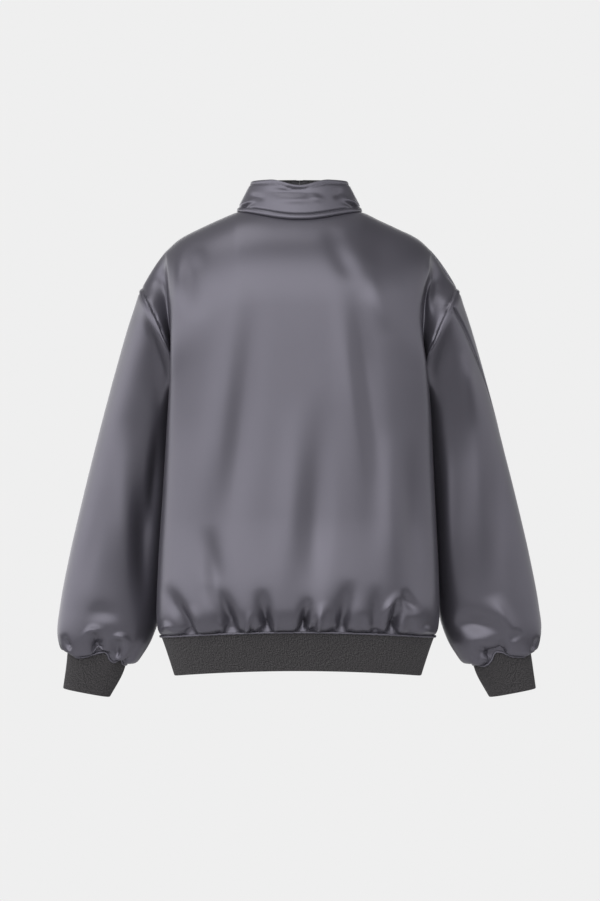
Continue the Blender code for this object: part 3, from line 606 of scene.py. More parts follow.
def ring_section(side, table, key, at, turn, mid_y):
    """A point round the arm: turn 0 is the overarm, half a turn the underarm, negative turns the front."""
    outer = stack(read(table, key, "outer_x", at), mid_y, read(table, key, "outer_z", at))
    inner = stack(read(table, key, "inner_x", at), mid_y, read(table, key, "inner_z", at))
    depth = np.where(turn >= 0, -read(table, key, "back", at), read(table, key, "front", at))
    along = np.sign(np.cos(turn)) * np.abs(np.cos(turn)) ** (2 / SLEEVE_POWER)
    point = (outer + inner) / 2 + along[..., None] * (outer - inner) / 2
    point[..., 1] += depth * np.abs(np.sin(turn)) ** (2 / SLEEVE_POWER)
    point[..., 0] *= SIDES[side]
    return point


def sleeve_section(side, v, turn):
    """A smooth outer point of the sleeve at a share of its length and a turn round the arm."""
    return ring_section(side, SLEEVE, "v", v, turn, read(SLEEVE, "v", "mid_y", v))


def sleeve_axis(side, v):
    """The middle of the sleeve's section."""
    x = (read(SLEEVE, "v", "outer_x", v) + read(SLEEVE, "v", "inner_x", v)) / 2
    z = (read(SLEEVE, "v", "outer_z", v) + read(SLEEVE, "v", "inner_z", v)) / 2
    return stack(SIDES[side] * x, read(SLEEVE, "v", "mid_y", v), z)


def hang(points):
    """The body hangs a little to the wearer's left below the shoulders."""
    share = np.clip((HANG_FROM_Z - points[..., 2]) / (HANG_FROM_Z - SEAM_Z), 0, 1)
    hung = points.copy()
    hung[..., 0] -= HANG_LEFT * share
    return hung


class BodyFace:
    """The back or one front of the body: its main sweep, and its turn into the side seam and armhole."""

    def __init__(self, name):
        self.back = name == "back"
        self.sign = -1.0 if self.back else 1.0
        self.width, self.depth, self.edge = (f"{name}_width", f"{name}_depth", f"{name}_edge")
        self.roll = ROLL_BACK if self.back else ROLL_FRONT
        self.lift = SEAM_LIFT_BACK if self.back else SEAM_LIFT_FRONT
        self.neck_y = NECK_BACK_Y if self.back else NECK_FRONT_Y
        self.middle = 0.0 if self.back else ZIP_HALF_GAP
        self.line = LINE_UNDER_COLLAR[name] + SHOULDER

    def line_z(self, x):
        """Height of the line the cloth rolls over: the shoulder line, and its run on under the collar."""
        under = read(self.line, "x", "z", x)
        return np.where(x < NECK_HALF, under, read(SHOULDER, "x", "z", x))

    def top_z(self, f, x):
        """Height of the neck seam or, past the neck point, of the shoulder line."""
        share = self.neck_y * arch(x / NECK_HALF, 2.0) / self.section(f, BONE_Z)
        return self.line_z(x) - self.roll * (1 - arch(share, ROLL_POWER))

    def section(self, f, z):
        """Depth of the face at a share of its width and a height."""
        edge = read(BODY, "z", self.edge, z)
        return edge + (read(BODY, "z", self.depth, z) - edge) * arch(f, SECTION_POWER)

    def sweep(self, f, t):
        """Main sweep: f 0 at the middle and 1 at the edge that turns away, t 0 at the rib and 1 on top."""
        top_x = self.middle + f * (BONE_X - self.middle)
        top_z = self.top_z(f, top_x)
        seam_z = SEAM_Z + self.lift * (1 - f * f)
        z = seam_z + (top_z - seam_z) * t
        edge_z = SEAM_Z + (BONE_Z - SEAM_Z) * t
        x = self.middle + f * (read(BODY, "z", self.width, edge_z) - self.middle)
        fall = np.clip((self.line_z(top_x) - z) / self.roll, 0, 1)
        y = self.sign * self.section(f, edge_z) * arch(1 - fall, ROLL_POWER)
        return stack(x, y, z)

    def border(self, t):
        """Side seam up to the armpit, then round the armhole to the shoulder seam's end."""
        below = np.clip(t / ARMPIT_ROW, 0, 1)
        z = SEAM_Z + (SLEEVE[0].inner_z - SEAM_Z) * below
        seam = stack(read(BODY, "z", "side_x", z), read(BODY, "z", "side_y", z), z)
        climb = np.clip((t - ARMPIT_ROW) / (1 - ARMPIT_ROW), 0, 1)
        turn = math.pi * (1 - climb)
        ring = sleeve_section("right", np.zeros_like(t), -self.sign * np.maximum(turn, 1e-9))
        return np.where((t <= ARMPIT_ROW)[..., None], seam, ring)

    def turn_in(self, w, t):
        """From the sweep's edge, w 0, back into the border, w 1, with a hollow beside the edge."""
        edge = self.sweep(np.ones_like(t), t)
        border = self.border(t)
        climb = np.clip((t - ARMPIT_ROW) / (1 - ARMPIT_ROW), 0, 1)
        armhole, shoulder = np.sin(np.pi * climb) ** 2, climb**3
        tuck = bump(t - ARMPIT_ROW, ARMPIT_REACH)
        shares = []
        for bend in (BEND_ACROSS, BEND_INWARD):
            share = bend.side + bend.armhole * armhole + bend.shoulder * shoulder
            shares.append(share + (bend.armpit - share) * tuck)
        corner = edge + (border - edge) * np.stack([*shares, np.full_like(t, BEND_DOWN)], axis=-1)
        corner[..., 1] -= self.sign * HOLLOW_DEPTH * armhole
        corner[..., 2] += SHOULDER_LIFT * shoulder
        w = w[..., None]
        swept = (1 - w) ** 2 * edge + 2 * w * (1 - w) * corner + w * w * border
        if not self.back:
            return swept
        shares = np.concatenate([w**VALLEY_ACROSS, 1 - (1 - w) ** VALLEY_INWARD, w], axis=-1)
        sunk = edge + (border - edge) * shares
        sunk[..., 1] += VALLEY_DEPTH * np.sin(np.pi * w[..., 0] ** VALLEY_SKEW) ** 2
        hollow = ease(climb / VALLEY_FROM) * ease((1 - climb) / VALLEY_TO)
        return swept + (sunk - swept) * hollow[..., None]


def shoulder_shares():
    """Shares of the way from the neck point to the sweep's edge, evenly spaced along the cloth."""
    neck = NECK_HALF / BONE_X
    f = 1 - (1 - np.linspace(neck, 1, FINE_STEPS)) ** 2 / (1 - neck)
    f = neck + (1 - neck) * (f - f[0]) / (f[-1] - f[0])
    curve = stack(BONE_X * f, BodyFace("back").section(f, np.full_like(f, SPACING_Z)), 0.0)
    run = run_along(curve[None], 1)[0]
    even = np.interp(np.linspace(0, run[-1], SHOULDER_COLUMNS + 1), run, f)
    return (even - neck) / (1 - neck)


def body_rows():
    """Shares t of the body's height: close together above the rib, and even round the armhole."""
    s = np.linspace(0, 1, ROWS_BELOW + 1)
    below = ARMPIT_ROW * (BODY_EVEN_SHARE * s + (1 - BODY_EVEN_SHARE) * s**2)
    return np.concatenate([below[:-1], np.linspace(ARMPIT_ROW, 1, ROWS_ABOVE + 1)])


def half_grid(face):
    """One half of a body face, from its middle to its side, on the wearer's right."""
    neck = (NECK_HALF - face.middle) / (BONE_X - face.middle)
    f = np.concatenate([
        np.linspace(0, neck, NECK_COLUMNS + 1),
        neck + (1 - neck) * shoulder_shares()[1:],
    ])
    w = ease(np.linspace(0, 1, TURN_COLUMNS + 1)[1:])
    t = body_rows()
    main_t, main_f = np.meshgrid(t, f, indexing="ij")
    turn_t, turn_w = np.meshgrid(t, w, indexing="ij")
    return np.concatenate([face.sweep(main_f, main_t), face.turn_in(turn_w, turn_t)], axis=1)


def mirrored(grid):
    """The same grid on the wearer's other side."""
    return grid[:, ::-1] * np.array([-1.0, 1.0, 1.0])


def relaxed(grid, rounds):
    """A grid whose inner points are drawn towards their neighbours, with its borders kept."""
    grid = grid.copy()
    drawn = (1 - RELAX_KEPT) / 2
    for _ in range(rounds):
        inside = grid[1:-1, 1:-1]
        across = (grid[1:-1, :-2] + grid[1:-1, 2:]) / 2
        down = (grid[:-2, 1:-1] + grid[2:, 1:-1]) / 2
        grid[1:-1, 1:-1] = RELAX_KEPT * inside + drawn * across + drawn * down
    return grid


def grid_normals(grid, centres):
    """Unit normals of a grid of points, pointing away from its centres."""
    down = np.gradient(grid, axis=0)
    across = np.gradient(grid, axis=1)
    normals = unit(np.cross(across, down))
    outward = np.sum(normals * (grid - centres)) >= 0
    return normals if outward else -normals


def creased(creases, x, z):
    """How far creases press the cloth in at points seen from behind; ridges give less than nothing."""
    depth = np.zeros_like(x)
    for c in creases:
        run_x, run_z = c.to_x - c.x, c.to_z - c.z
        length = math.hypot(run_x, run_z)
        along = ((x - c.x) * run_x + (z - c.z) * run_z) / length**2
        share = np.clip(along, 0, 1)
        aside = ((x - c.x) * run_z - (z - c.z) * run_x) / length - c.bow * np.sin(np.pi * share)
        past = (along - share) * length
        width = c.width + (c.to_width - c.width) * share
        rising = np.clip(share / c.peak, 0, 1) if c.peak else np.ones_like(share)
        falling = np.clip((1 - share) / (1 - c.peak), 0, 1)
        strength = ease(rising) * ease(falling)
        depth += c.depth * strength * np.exp(-(aside**2 + past**2) / width**2)
    return depth


def pucker(run):
    """Small uneven puckers along a sewn line, between -1 and 1, from the length along it."""
    turns = [2 * np.pi * run / wave + PUCKER_PHASE * k for k, wave in enumerate(PUCKER_WAVES)]
    return sum(np.sin(turn) for turn in turns) / len(turns)


def mirrored_creases(creases):
    """The same creases on the wearer's other side."""
    return [c._replace(x=-c.x, to_x=-c.to_x, bow=-c.bow) for c in creases]


def pressed(line, run):
    """How deep a sewn line presses the cloth in, by the length from the piece's edge."""
    return line.depth * bump(run - line.at, line.width)


def body_relief(face, side, grid):
    """How far the body's cloth stands off its smooth form: creases, seams and topstitching."""
    x, z = grid[..., 0], grid[..., 2]
    from_rib, from_top = run_along(grid, 0), run_along(grid, 0, -1)
    from_left, from_right = run_along(grid, 1), run_along(grid, 1, -1)
    edge_run = from_right if side == "right" else from_left
    from_border = np.minimum(from_left, from_right) if side is None else edge_run
    creases = BACK_CREASES if face.back else FRONT_CREASES
    gathers = BACK_GATHERS if face.back else FRONT_GATHERS
    if side == "left":
        creases, gathers = mirrored_creases(creases), mirrored_creases(gathers)
    held = np.clip(creased(gathers, x, z), 0, 1)
    over = (1 - held) * ease(from_rib / HEM_SWELL) + held * ease(from_rib / HEM_SWELL_HELD)
    over *= 1 - ease((from_rib - HEM_FADE_FROM) / HEM_FADE)
    over *= ease((from_border - HEM_SIDE_FROM) / HEM_SIDE_FADE)
    dip = GATHER_DIP * held * ease((GATHER_TOP - from_rib) / GATHER_FADE)
    dip *= ease(from_border / GATHER_SIDE_FADE)
    relief = HEM_OVERHANG * over - (dip + creased(creases, x, z)) * ease(from_rib / BODY_FADE_RIB)
    relief *= ease(from_rib / RELIEF_FADE_RIB) * ease(from_top / BODY_FADE_TOP)
    relief *= ease(from_border / BODY_FADE_SIDE)
    rib_seam_dip = pressed(RIB_SEAM, from_rib) * (1 + RIB_PUCKER_SHARE * pucker(from_left))
    relief -= rib_seam_dip * ease(from_rib / SEAM_FADE) + pressed(TOP_SEAM, from_top)
    above = (body_rows() > ARMPIT_ROW)[:, None]
    band = ARMHOLE_BAND * np.sin(np.pi * np.clip(from_border / ARMHOLE_STITCH.at, 0, 1))
    band *= 1 + BAND_PUCKER_SHARE * pucker(BAND_PUCKER_PACE * from_rib)
    stitched = pressed(ARMHOLE_STITCH, from_border)
    stitched *= 1 + STITCH_PUCKER_SHARE * pucker(STITCH_PUCKER_PACE * from_rib)
    return relief + np.where(above, band - stitched, -pressed(SIDE_SEAM, from_border))


def body_grid(face, side):
    """Smooth outer points of the back, side None, or of the front on one side."""
    half = half_grid(face)
    if side is None:
        grid = relaxed(np.concatenate([mirrored(half), half[:, 1:]], axis=1), RELAX_ROUNDS["back"])
        tuck = ease((grid[..., 0] - TUCK_FROM_X) / TUCK_RUN) * bump(grid[..., 2] - TUCK_Z, TUCK_HEIGHT)
        tuck *= ease(run_along(grid, 1, -1) / TUCK_SIDE_FADE)
        grid[..., 0] -= RIGHT_TUCK * tuck
        return grid
    return relaxed(half if side == "right" else mirrored(half), RELAX_ROUNDS["front"])


def sleeve_rows():
    """Shares v of the sleeve's length, closer together towards the cuff."""
    s = np.linspace(0, 1, SLEEVE_ROWS + 1)
    return 1 - (SLEEVE_EVEN_SHARE * (1 - s) + (1 - SLEEVE_EVEN_SHARE) * (1 - s) ** SLEEVE_ROW_POWER)


def sleeve_turns(side, half):
    """The turns of a sleeve half's columns, row by row; the overarm seam starts behind the shoulder."""
    moved = round(SEAM_TURN_SHARE[side] * ROWS_ABOVE)
    start = math.pi * moved / ROWS_ABOVE * np.clip(1 - sleeve_rows() / SEAM_TURN_END, 0, 1)[:, None]
    if half == "back":
        return start + (math.pi - start) * np.linspace(0, 1, ROWS_ABOVE - moved + 1)
    return start - (math.pi + start) * np.linspace(0, 1, ROWS_ABOVE + moved + 1)


def cuff_wave(side, turn):
    """How far the cuff seam rises at a turn round the arm."""
    degrees = np.degrees(turn)
    return sum(w.rise * bump((degrees - w.turn + 180) % 360 - 180, w.width) for w in CUFF_WAVES[side])


def up_the_arm(side):
    """Direction from the cuff up the sleeve."""
    ends = sleeve_axis(side, np.array(LOWER_ARM))
    return unit(ends[0] - ends[1])


def sleeve_grid(side, half):
    """Smooth outer points of a sleeve's back or front, between its overarm and underarm seams."""
    turns = sleeve_turns(side, half)
    rows = np.broadcast_to(sleeve_rows()[:, None], turns.shape)
    grid = relaxed(sleeve_section(side, rows, turns), RELAX_ROUNDS["sleeve"])
    reach = ease((rows - 1 + CUFF_WAVE_REACH) / CUFF_WAVE_REACH)
    return grid + (cuff_wave(side, turns) * reach)[..., None] * up_the_arm(side)


def sleeve_relief(side, half, grid):
    """How far a sleeve's cloth stands off its smooth form; each front takes the other back's creases."""
    other = "left" if side == "right" else "right"
    creases = SLEEVE_CREASES[side] if half == "back" else mirrored_creases(SLEEVE_CREASES[other])
    from_arm, from_cuff = run_along(grid, 0), run_along(grid, 0, -1)
    from_over, from_under = run_along(grid, 1), run_along(grid, 1, -1)
    relief = -creased(creases, grid[..., 0], grid[..., 2])
    relief *= ease(from_cuff / SLEEVE_FADE_CUFF) * ease(from_arm / SLEEVE_FADE_ARM)
    relief *= ease(from_over / SLEEVE_FADE_SIDE) * ease(from_under / SLEEVE_FADE_SIDE)
    puckered = CUFF_PUCKER * (1 + pucker(from_over)) * np.exp(-from_cuff / SLEEVE_FADE_CUFF)
    relief -= puckered * ease(from_cuff / SEAM_FADE) + pressed(ARMHOLE_SEAM, from_arm)
    relief -= pressed(OVERARM_SEAM, from_over) + pressed(UNDERARM_SEAM, from_under)
    if half == "back":
        relief -= pressed(OVERARM_STITCH, from_over)
    return relief


def collar_grid(neck_ring):
    """Smooth outer points of the stand collar, from the neck seam to its top edge."""
    back = neck_ring[:, 1] < 0
    top_x = neck_ring[:, 0] * COLLAR_TOP_HALF / NECK_HALF
    top_x[[0, -1]] = neck_ring[[0, -1], 0]
    narrowing = np.where(back, COLLAR_TOP_BACK_Y / NECK_BACK_Y, COLLAR_TOP_FRONT_Y / NECK_FRONT_Y)
    middle_z = np.where(back, COLLAR_TOP_BACK_Z, COLLAR_TOP_FRONT_Z)
    share = np.abs(neck_ring[:, 0]) / NECK_HALF
    reach = np.where(back, ease(1 - share / COLLAR_DIP_HALF), arch(share, 2.0))
    top_z = COLLAR_TOP_SIDE_Z + (middle_z - COLLAR_TOP_SIDE_Z) * reach
    top = stack(top_x, neck_ring[:, 1] * narrowing, top_z)
    return neck_ring + (top - neck_ring) * to_free_edge(COLLAR_ROWS)[:, None, None]


def to_free_edge(count):
    """Shares from a seam to a free edge, with close rows at the edge for its rounding."""
    return np.append(np.linspace(0, EDGE_ROWS_FROM, count), EDGE_ROWS)


def collar_relief(grid):
    """The collar's band above the neck seam, its stitched top edge and the soft folds at its ends."""
    up, down = run_along(grid, 0), run_along(grid, 0, -1)
    behind = grid[..., 1] < 0
    wrinkles = np.where(behind, creased(COLLAR_CREASES, grid[..., 0], grid[..., 2]), 0.0)
    relief = -wrinkles * ease(up / COLLAR_FADE_NECK) * ease(down / COLLAR_FADE_TOP)
    relief -= pressed(NECK_SEAM, up) + pressed(NECK_BAND, up)
    puckers = 1 + COLLAR_PUCKER_SHARE * pucker(run_along(grid, 1))
    return relief - pressed(COLLAR_STITCH, down) * puckers


Cloth = namedtuple("Cloth", "outer inner normals")


def seam_normals(grids, centres):
    """Normals of every grid, shared by the pieces that meet along a seam."""
    normals = {name: grid_normals(grid, centres[name]) for name, grid in grids.items()}
    places = []
    for name, grid in grids.items():
        rows, columns = grid.shape[:2]
        on_border = np.zeros((rows, columns), bool)
        on_border[[0, -1]] = True
        on_border[:, [0, -1]] = True
        places += [(name, row, column) for row, column in np.argwhere(on_border)]
    near = KDTree(len(places))
    for i, (name, row, column) in enumerate(places):
        near.insert(grids[name][row, column], i)
    near.balance()
    own = {name: normal.copy() for name, normal in normals.items()}
    for name, row, column in places:
        met = [places[i] for _, i, _ in near.find_range(grids[name][row, column], SAME_PLACE)]
        normals[name][row, column] = unit(sum(own[n][r, c] for n, r, c in met))
    return normals


def softened(outer, inner, from_edge):
    """A wall whose free edge is rounded off instead of square."""
    middle, half = (outer + inner) / 2, (outer - inner) / 2
    share = np.clip(from_edge / EDGE_RADIUS, 0, 1)
    round_off = np.sqrt(np.maximum(1 - (1 - share) ** 2, EDGE_LEAST))
    return middle + half * round_off[..., None], middle - half * round_off[..., None]


@functools.lru_cache(maxsize=None)
def satin_cloth(crease_share, satin_wall, collar_wall):
    """Every satin piece as it lies on the jacket, sewn to its neighbours."""
    upright = np.array([0.0, 0.0, 1.0])
    faces = {"back": (BodyFace("back"), None)}
    for side in SIDES:
        faces[f"front_{side}"] = (BodyFace("front"), side)
    grids = {name: body_grid(*made) for name, made in faces.items()}
    reliefs = {name: body_relief(*faces[name], grids[name]) for name in faces}
    centres = {name: grid * upright for name, grid in grids.items()}
    for side in SIDES:
        for half in ("back", "front"):
            name = f"sleeve_{half}_{side}"
            grids[name] = sleeve_grid(side, half)
            reliefs[name] = sleeve_relief(side, half, grids[name])
            rows = np.broadcast_to(sleeve_rows()[:, None], grids[name].shape[:2])
            centres[name] = sleeve_axis(side, rows)
    grids["collar"] = collar_grid(neck_ring(grids))
    reliefs["collar"] = collar_relief(grids["collar"])
    centres["collar"] = grids["collar"] * upright
    normals = seam_normals(grids, centres)
    cloth = {}
    for name, grid in grids.items():
        outer = grid + normals[name] * (crease_share * reliefs[name])[..., None]
        turned = grid_normals(outer, centres[name])
        turned[[0, -1]], turned[:, [0, -1]] = normals[name][[0, -1]], normals[name][:, [0, -1]]
        inner = outer - turned * (collar_wall if name == "collar" else satin_wall)
        if name == "collar":
            outer, inner = softened(outer, inner, run_along(grid, 0, -1))
        if name in faces:
            outer, inner = hang(outer), hang(inner)
        cloth[name] = Cloth(outer, inner, turned)
    return cloth


def neck_ring(grids):
    """The neck seam as a line of points, from the zip's left edge round the nape to its right edge."""
    left, back, right = grids["front_left"][-1, ::-1], grids["back"][-1], grids["front_right"][-1]
    middle = len(back) // 2
    nape = back[middle - NECK_COLUMNS + 1 : middle + NECK_COLUMNS]
    return np.concatenate([left[: NECK_COLUMNS + 1], nape, right[NECK_COLUMNS::-1]])


def even_line(points, count):
    """A line of points laid out again at even steps."""
    run = run_along(points[None], 1)[0]
    at = np.linspace(0, run[-1], count)
    return np.stack([np.interp(at, run, points[:, k]) for k in range(3)], axis=-1)


def smoothed(line, reach):
    """A line whose points, short of its ends, are the means of their neighbours."""
    count = 2 * reach + 1
    soft = line.copy()
    soft[reach:-reach] = sum(line[k : len(line) - 2 * reach + k] for k in range(count)) / count
    return soft


def rib_seam(cloth):
    """The rib seam as a line of points, from the zip's left edge round the back to its right edge."""
    left, back, right = cloth["front_left"].outer, cloth["back"].outer, cloth["front_right"].outer
    return np.concatenate([left[0, ::-1], back[0, 1:-1], right[0, ::-1]])


def level_normals(ring):
    """Level outward normals of a ring that is open at the zip, smoothed over its corners."""
    run = np.gradient(ring, axis=0)
    normals = unit(np.cross(run, np.array([0.0, 0.0, 1.0])) * np.array([1.0, 1.0, 0.0]))
    reach = max(LEVEL_LEAST, len(ring) // LEVEL_PARTS)
    padded = np.pad(normals, ((reach, reach), (0, 0)), mode="edge")
    window = np.hanning(2 * reach + 1)
    kernel = window / np.sum(window)
    normals = unit(np.stack([np.convolve(padded[:, k], kernel, "valid") for k in range(3)], axis=-1))
    return normals if np.sum(normals * ring * np.array([1, 1, 0])) >= 0 else -normals


def hem_knit(cloth, sizes):
    """The rib hem: ribs all round, narrowing downwards from the rib seam."""
    seam = rib_seam(cloth)
    length = run_along(seam[None], 1)[0, -1]
    ribs = round(length / sizes.rib_pitch)
    ring = even_line(seam, ribs * POINTS_A_RIB + 1)
    normals = level_normals(ring)
    rows = to_free_edge(RIB_ROWS)[:, None, None]
    grid = ring - normals * (HEM_BOTTOM_IN * rows**HEM_IN_POWER) - np.array([0.0, 0.0, HEM_HEIGHT]) * rows
    return ribbed(grid, np.broadcast_to(normals, grid.shape), sizes)


def ribbed(grid, normals, sizes):
    """A knit wall with upright ribs on its outer side and a rounded lower edge."""
    phase = np.arange(grid.shape[1]) / POINTS_A_RIB
    ribs = sizes.rib_height * (np.cos(2 * np.pi * phase) - 1) / 2
    outer = grid + normals * ribs[None, :, None]
    outer, inner = softened(outer, grid - normals * sizes.knit_wall, run_along(grid, 0, -1))
    return Cloth(outer, inner, normals)


def cuff_knit(side, sizes):
    """A cuff: one ribbed strip whose ends meet at the underarm seam, topped by the wavy cuff seam."""
    turns = np.linspace(math.pi, -math.pi, FINE_TURNS)
    ring = cuff_points(side, np.zeros_like(turns), turns)
    run = run_along(ring[None], 1)[0]
    columns = round(run[-1] / sizes.rib_pitch) * POINTS_A_RIB
    turns = np.interp(np.linspace(0, run[-1], columns + 1), run, turns)
    rows, turns = np.meshgrid(to_free_edge(RIB_ROWS), turns, indexing="ij")
    grid = cuff_points(side, rows, turns)
    normals = grid_normals(grid, np.mean(grid, axis=1, keepdims=True))
    normals[:, [0, -1]] = unit(normals[:, [0]] + normals[:, [-1]])
    wave = cuff_wave(side, turns) * ease(1 - rows / CUFF_WAVE_FADE)
    grid = grid + wave[..., None] * up_the_arm(side)
    return ribbed(grid, normals, sizes)


def cuff_points(side, rows, turns):
    """Smooth outer points of a cuff at shares of its height and turns round the arm."""
    return ring_section(side, CUFF, "w", rows, turns, CUFF_MID_Y)


def zip_line(cloth, hem, sizes):
    """The line the tapes follow behind the front edges, with its direction off the chest."""
    front, collar = cloth["front_right"].outer, cloth["collar"].outer
    edge = np.concatenate([hem.outer[::-1, -1], front[1:, 0], collar[1:, -1]])
    depths = np.concatenate([
        np.full(len(hem.outer), sizes.knit_wall),
        np.full(len(front) - 1, sizes.satin_wall),
        np.full(len(collar) - 1, sizes.collar_wall),
    ])
    end = edge[-1] + TAPE_END * unit(edge[-1] - edge[-6])
    edge, depths = np.vstack([edge, end]), np.append(depths, depths[-1])
    edge = even_line(np.column_stack([depths, edge[:, 1], edge[:, 2]]), TAPE_ROWS)
    kernel = np.ones(2 * TAPE_REACH + 1) / (2 * TAPE_REACH + 1)
    depths = np.convolve(np.pad(edge[:, 0], TAPE_REACH, mode="edge"), kernel, "valid")
    line = np.column_stack([np.zeros(len(edge)), edge[:, 1], edge[:, 2]])
    run = unit(np.gradient(line, axis=0))
    square = unit(np.stack([np.zeros(len(run)), run[:, 2], -run[:, 1]], axis=-1))
    return line - square * (depths + TAPE_SEAT)[:, None], square


def tape_cloth(line, square, side):
    """One zip tape: a woven strip from the teeth out to behind the front edge."""
    climb = np.clip((line[:, 2] - TAPE_BOW_FROM) / TAPE_BOW_RUN, 0, TAPE_BOW_MOST)
    bow = NECK_FRONT_Y / (2 * NECK_HALF**2) * climb
    x = SIDES[side] * np.linspace(TAPE_MIDDLE_GAP / 2, TAPE_WIDTH, TAPE_COLUMNS)
    layers = []
    for depth in (0.0, TAPE_WALL):
        low = line - square * depth
        layers.append(np.stack([stack(at, low[:, 1] - bow * at * at, low[:, 2]) for at in x], axis=1))
    return Cloth(hang(layers[0]), hang(layers[1]), np.broadcast_to(square[:, None], layers[0].shape))


def line_at(cloth, run, distance, lift):
    """A line on a cloth piece: in each row, the point a distance along, a little off the surface."""
    points = []
    for row in range(len(run)):
        order = np.argsort(run[row])
        both = np.concatenate([cloth.outer[row], cloth.normals[row]], axis=-1)[order]
        point = np.array([np.interp(distance, run[row][order], both[:, k]) for k in range(6)])
        points.append(point[:3] + lift * point[3:])
    return np.array(points)


def turned_cloth(cloth):
    """The same piece with its rows and columns exchanged."""
    return Cloth(*(np.swapaxes(part, 0, 1) for part in cloth))


def face_spans(outer):
    """The cross product of each face's two sides: its direction and its area."""
    across = outer[:-1, 1:] - outer[:-1, :-1]
    down = outer[1:, :-1] - outer[:-1, :-1]
    return np.cross(across, down)


def feed(tree, node, inputs):
    """Sets or links a node's inputs by name or number."""
    for key, value in inputs.items():
        if isinstance(value, bpy.types.NodeSocket):
            tree.links.new(value, node.inputs[key])
        else:
            node.inputs[key].default_value = value


def add_node(tree, kind, inputs=None, **settings):
    """Adds a node with its settings and its inputs."""
    made = tree.nodes.new(kind)
    for key, value in settings.items():
        setattr(made, key, value)
    feed(tree, made, inputs or {})
    return made


def new_material(name):
    """A new material, with its node tree and its shader."""
    material = bpy.data.materials.new(name)
    material.use_nodes = True
    tree = material.node_tree
    return material, tree, tree.nodes["Principled BSDF"]


def cloth_lengths(tree):
    """Lengths in metres across and along a piece of cloth."""
    return add_node(tree, "ShaderNodeUVMap", uv_map="UVMap").outputs[0]


def in_threads(tree, lengths, across, along):
    """Lengths counted in threads that lie so far apart across and along."""
    scale = (1 / across, 1 / along, 1.0)
    return add_node(tree, "ShaderNodeMapping", {"Vector": lengths, "Scale": scale}).outputs[0]


def noise(tree, place, scale, detail):
    """Soft random shares, with so many blots to a unit."""
    inputs = {"Vector": place, "Scale": scale, "Detail": detail}
    return add_node(tree, "ShaderNodeTexNoise", inputs).outputs[0]


def waves(tree, place, radian):
    """Even waves that take this length for each radian, so that a whole wave is 6.28 times as long."""
    scale = 1 / (radian * WAVE_RADIANS)
    return add_node(tree, "ShaderNodeTexWave", {"Vector": place, "Scale": scale}).outputs[1]


def spread(tree, value, start, end, low, high, kind="LINEAR"):
    """A value's run from start to end, spread over low to high."""
    inputs = {0: value, 1: start, 2: end, 3: low, 4: high}
    return add_node(tree, "ShaderNodeMapRange", inputs, interpolation_type=kind).outputs[0]


def mixed(tree, share, first, second):
    """A colour between two others."""
    return add_node(tree, "ShaderNodeMix", {0: share, 6: first, 7: second}, data_type="RGBA").outputs[2]


def raised(tree, height, strength, distance):
    """Surface directions of a fine relief."""
    inputs = {"Strength": strength, "Distance": distance, "Height": height}
    return add_node(tree, "ShaderNodeBump", inputs).outputs[0]


def shade(colour, share):
    """A colour made lighter or darker, with full alpha."""
    return (*(min(1.0, share * part) for part in colour), 1.0)


def satin_finish(colours):
    """Lined duchess satin, woven with long floats: broad soft highlights that slide over each fold."""
    material, tree, shader = new_material("charcoal duchess satin")
    lengths = cloth_lengths(tree)
    # Float threads are 0.2 mm apart; they are drawn 1.1 mm apart so that the grain shows.
    grain = noise(tree, in_threads(tree, lengths, 0.0011, 0.0026), 1.0, 2.0)
    # Slubs, where the yarn is thicker, shade the cloth over about 60 mm.
    slub = noise(tree, lengths, 1 / 0.060, 2.0)
    woven = mixed(tree, grain, shade(colours.satin, 0.90), shade(colours.satin, 1.10))
    toned = mixed(tree, slub, woven, shade(colours.satin, 1.06))
    relief = raised(tree, grain, 0.06, 0.0004)
    feed(tree, shader, {"Base Color": toned, "Normal": relief, "Metallic": 0.65, "Roughness": 0.37})
    return material


def knit_finish(colours):
    """Heather rib knit of two yarns: matt, dark, with fine lighter flecks."""
    material, tree, shader = new_material("heather rib knit")
    # Loops are 0.9 mm wide; flecks of two or three loops are drawn so that the heather shows.
    fleck = noise(tree, in_threads(tree, cloth_lengths(tree), 0.0013, 0.0017), 1.0, 3.0)
    yarn = spread(tree, fleck, 0.36, 0.66, 0.0, 1.0)
    heather = mixed(tree, yarn, (*colours.knit, 1.0), (*colours.knit_fleck, 1.0))
    feed(tree, shader, {"Base Color": heather, "Normal": raised(tree, fleck, 0.15, 0.0005)})
    feed(tree, shader, {"Roughness": 0.92, "Specular IOR Level": 0.2, "Sheen Weight": 0.12})
    return material


def lining_finish(colours):
    """Plain-woven viscose lining: matt, with a fine even weave; its near-black colour is partly its own and
    partly painted shade inside the collar.
    """
    material, tree, shader = new_material("plain viscose lining")
    # Threads are 0.4 mm apart.
    weave = add_node(tree, "ShaderNodeTexChecker", {"Vector": cloth_lengths(tree), "Scale": 1 / 0.0004})
    feed(tree, weave, {"Color1": shade(colours.lining, 0.85), "Color2": shade(colours.lining, 1.15)})
    feed(tree, shader, {"Base Color": weave.outputs[0], "Roughness": 0.7})
    return material


def tape_finish(colours):
    """Twill-woven polyester tape: matt, with fine slanting ridges."""
    material, tree, shader = new_material("twill zip tape")
    slant = (0.0, 0.0, math.radians(55.0))
    turned = add_node(tree, "ShaderNodeMapping", {"Vector": cloth_lengths(tree), "Rotation": slant})
    # Twill ridges are under 1 mm apart; they are drawn 5 mm apart so that the slant shows.
    twill = waves(tree, turned.outputs[0], 0.0008)
    woven = mixed(tree, twill, shade(colours.tape, 0.8), shade(colours.tape, 1.3))
    relief = raised(tree, twill, 0.4, 0.0003)
    feed(tree, shader, {"Base Color": woven, "Normal": relief, "Roughness": 0.8})
    return material


